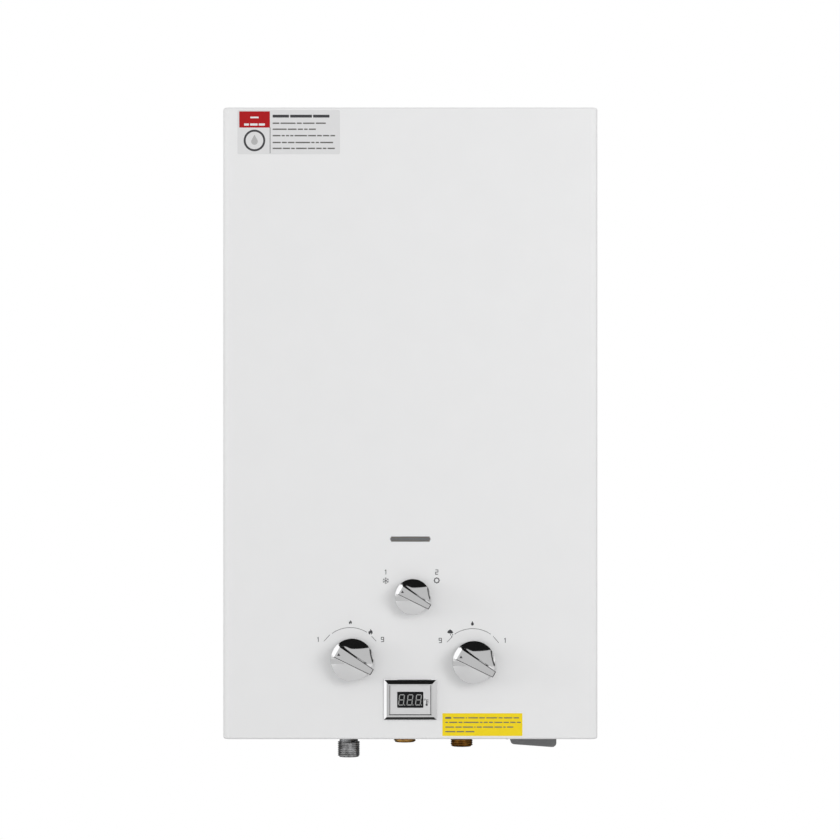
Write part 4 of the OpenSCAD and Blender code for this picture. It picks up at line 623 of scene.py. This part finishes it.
def make_display():
    cx, cy = DISPLAY
    bezel = Builder()
    profile = [(0.0, 0.0), (0.0, 1.35), (0.45, 1.75), (2.6, 3.3), (4.1, 4.22), (4.3, 4.3), (4.45, 4.3),
               (5.35, 3.86), (5.40, 3.74), (5.40, -8.0), (3.2, -8.0), (3.2, 0.0)]
    frame_rings(bezel, profile, 49.3, 37.6, cx, cy)
    ring = bezel.piece("display_frame", "chrome", slot="chrome", smooth=False)
    soften(ring, 0.12, 2, 15)
    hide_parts("display_bezel")
    digits = Builder()
    place = on_face(BEZEL_OUT - 0.8)
    slant = math.tan(math.radians(7))
    half_w, half_h, bar = 2.25, 4.75, 0.80

    def put(points, dx):
        digits.prism([(cx - 0.3 + dx + x + y * slant, cy - 0.1 + y) for x, y in points], place, 0.0, 0.05)

    def segment(x0, y0, x1, y1):
        """A bar with pointed ends between two joints of the number."""
        d = Vector((x1 - x0, y1 - y0))
        u = d.normalized()
        v = Vector((-u.y, u.x)) * bar / 2
        a, z = Vector((x0, y0)) + u * 0.18, Vector((x1, y1)) - u * 0.18
        p, q = a + u * bar / 2, z - u * bar / 2
        return [(a.x, a.y), (p.x + v.x, p.y + v.y), (q.x + v.x, q.y + v.y), (z.x, z.y),
                (q.x - v.x, q.y - v.y), (p.x - v.x, p.y - v.y)]

    for i in (-1, 0, 1):
        dx = 7.9 * i
        for y in (-half_h, 0.0, half_h):
            put(segment(-half_w, y, half_w, y), dx)
        for x in (-half_w, half_w):
            put(segment(x, 0.0, x, half_h), dx)
            put(segment(x, -half_h, x, 0.0), dx)
        put(arc_points(half_w + 1.15, -half_h, 0.5, 0, 330, 12), dx)
    digits.piece("display_digits", "segment", slot="smoked")
    mark = Builder()
    # a degree ring and a small thermometer
    place = on_face(BEZEL_OUT - 0.4)
    mark.strip(arc_points(13.5, 37.4, 0.45, 0, 345, 24), arc_points(13.5, 37.4, 0.85, 0, 345, 24),
               place, 0.0, 0.03, closed=True)
    mark.prism(rounded(15.3, 35.4, 0.75, 4.4, 0.3), place, 0.0, 0.030)
    mark.prism(arc_points(15.3, 32.6, 1.05, 0, 345, 24), place, 0.0, 0.034)
    for h in (37.1, 35.7, 34.3):
        mark.prism(line_box(15.6, h, 17.0, h, 0.5), place, 0.0, 0.032)
    mark.piece("display_degree_mark", "ink", slot="silver_panel")


# ---------------------------------------------------------------- turned fittings

COLUMNS = 96
PITCH = 1.814
THREAD_DEPTH = 0.85
THREAD_R = 10.4775
BORE_R = 6.5


def thread_cut(z, angle):
    """Depth of the thread's valley at a height and an angle, from 0 at the crest to THREAD_DEPTH."""
    phase = (z / PITCH - angle / (2 * math.pi)) % 1.0
    wave = abs(2.0 * phase - 1.0)
    return THREAD_DEPTH * min(1.0, max(0.0, (wave - 0.36) / 0.56))


def turned(b, cx, rows, cy=PIPE_Y, hex_af=None):
    """A closed ring of rows (radius, height, kind): t is threaded, x is cut to a hexagon."""
    verts, n = [], len(rows)
    for r, z, kind in rows:
        for j in range(COLUMNS):
            a = 2 * math.pi * j / COLUMNS
            q = r
            if kind == "t":
                q = r - thread_cut(z, a)
            elif kind == "x":
                off = (a + math.pi / 6) % (math.pi / 3) - math.pi / 6
                q = min(r, hex_af / 2 / math.cos(off))
            verts.append((cx + q * math.cos(a), cy + q * math.sin(a), z))
    faces = []
    for i in range(n):
        k = (i + 1) % n
        for j in range(COLUMNS):
            m = (j + 1) % COLUMNS
            faces.append((i * COLUMNS + j, i * COLUMNS + m, k * COLUMNS + m, k * COLUMNS + j))
    b.add(verts, faces)


def up(h):
    return h - HALF_H


def thread_rows(end, top, r, chamfer=1.2, step=0.15):
    """Rows of a thread from its chamfered end upwards."""
    rows = [(r - 2.6, end, ""), (r - chamfer - 0.35, end, "")]
    count = int((top - end) / step)
    for i in range(count + 1):
        z = end + (top - end) * i / count
        fade = min(1.0, (z - end) / chamfer)
        limit = r - chamfer * (1 - fade) - (0.25 if i == 0 else 0.0)
        rows.append((limit, z, "t"))
    return rows


def fitting(name, node, x, drop, thread_l, neck_r, top, material, hex_af=26.0):
    """A threaded connection with its flange and hexagon, drop below the casing and thread_l long."""
    b = Builder()
    r, bore = THREAD_R, BORE_R
    end = up(-drop)
    flange_low, flange_t = up(2.6), 3.0
    thread_top = min(end + thread_l, flange_low - 0.6)
    rows = thread_rows(end, thread_top, r)
    rows += [(r, thread_top + 0.02, ""), (neck_r, thread_top + 0.5, ""), (neck_r, flange_low, ""),
             (13.7, flange_low, ""), (14.0, flange_low + 0.3, ""), (14.0, flange_low + flange_t - 0.3, ""),
             (13.7, flange_low + flange_t, ""), (hex_af / 2 - 0.1, flange_low + flange_t, ""),
             (hex_af / 2 / math.cos(math.pi / 6), flange_low + flange_t + 0.05, "x"),
             (hex_af / 2 / math.cos(math.pi / 6), flange_low + flange_t + 4.2, "x"),
             (hex_af / 2 - 0.2, flange_low + flange_t + 5.0, "x"),
             (9.0, flange_low + flange_t + 5.0, ""), (9.0, top - 0.3, ""), (8.7, top, ""),
             (bore + 0.3, top, ""), (bore, top - 0.3, ""), (bore, end + 0.8, ""), (bore + 0.6, end, "")]
    turned(b, x, rows, hex_af=hex_af)
    for side in (-1, 1):
        ear = [(x - 5, PIPE_Y + side * 11), (x - 5, PIPE_Y + side * 19)]
        ear += [(x + 5 * math.sin(t), PIPE_Y + side * (19 + 5 * math.cos(t)))
                for t in (math.radians(a) for a in range(-75, 76, 15))]
        ear += [(x + 5, PIPE_Y + side * 19), (x + 5, PIPE_Y + side * 11)]
        b.prism(ear, lambda u, v, w: (u, v, w), flange_low, flange_low + flange_t)
    piece = b.piece(name, material, slot=material, smooth=True)
    piece.modifiers.new("normals", "WEIGHTED_NORMAL").keep_sharp = True
    split = piece.modifiers.new("edges", "EDGE_SPLIT")
    split.split_angle = math.radians(38)
    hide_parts(node)
    return piece


def make_fittings():
    fitting("gas_inlet_threaded", "gas_inlet_fitting", -59.1, 23.9, 14.3, 8.75, up(53.0), "zinc")
    fitting("cold_inlet_threaded", "cold_inlet_fitting", 48.9, 13.9, 13.4, 9.58, up(34.0), "aged_brass")
    fitting("hot_outlet_threaded", "hot_outlet_fitting", -5.5, 9.7, 9.2, 9.58, up(17.6), "brass")


# ---------------------------------------------------------------- knobs

KNOB_GAP = 0.8


def make_pointers():
    """The printed triangle on each grip's wide end, placed from the knob's centre and front."""
    marks = (
        ("gas", -54.1 - 12.2, 75.0 + 5.3, 21.0, 1.75),
        ("water", 59.3 - 12.2, 72.8 + 5.3, 21.0, 1.7),
        ("season", 2.3 - 9.5, 133.6 + 4.8, 18.0, 1.6),
    )
    for name, x, h, thick, size in marks:
        b = Builder()
        corners = [math.radians(a) for a in (0, 120, 240)]
        b.prism([(x + size * math.sin(a), h + size * math.cos(a)) for a in corners],
                on_face(KNOB_GAP + thick), 0.0, 0.03)
        b.piece(name + "_pointer_mark", "ink", body=name + "_control", slot="chrome")


# ---------------------------------------------------------------- assembly

def dress_nodes():
    slots = {s["node"]: s["material_slot"] for s in frame["record"]["subparts"]}
    for name, obj in NODES.items():
        for holder in obj.material_slots:
            holder.material = MAT[slots[name]]
    for name in ("gas_knob", "water_knob", "season_knob"):
        soften(NODES[name], 0.22, 3, 25, weld=True)
    soften(NODES["battery_lid"], 0.5, 3, 35, weld=True)
    soften(NODES["display_panel"], 0.3, 2, 30, weld=True)


make_camera()
make_world()
area_lamp("key", (1.25, -1.75, 0.45), 1.1, 12.0)
area_lamp("fill", (-1.6, -2.0, 0.6), 1.6, 3.0)
area_lamp("side", (-2.6, -0.85, 0.15), 1.0, 13.0)
make_floor()
MAT = make_materials()
dress_nodes()
make_prints()
make_labels()
make_grille()
make_display()
make_fittings()
make_pointers()
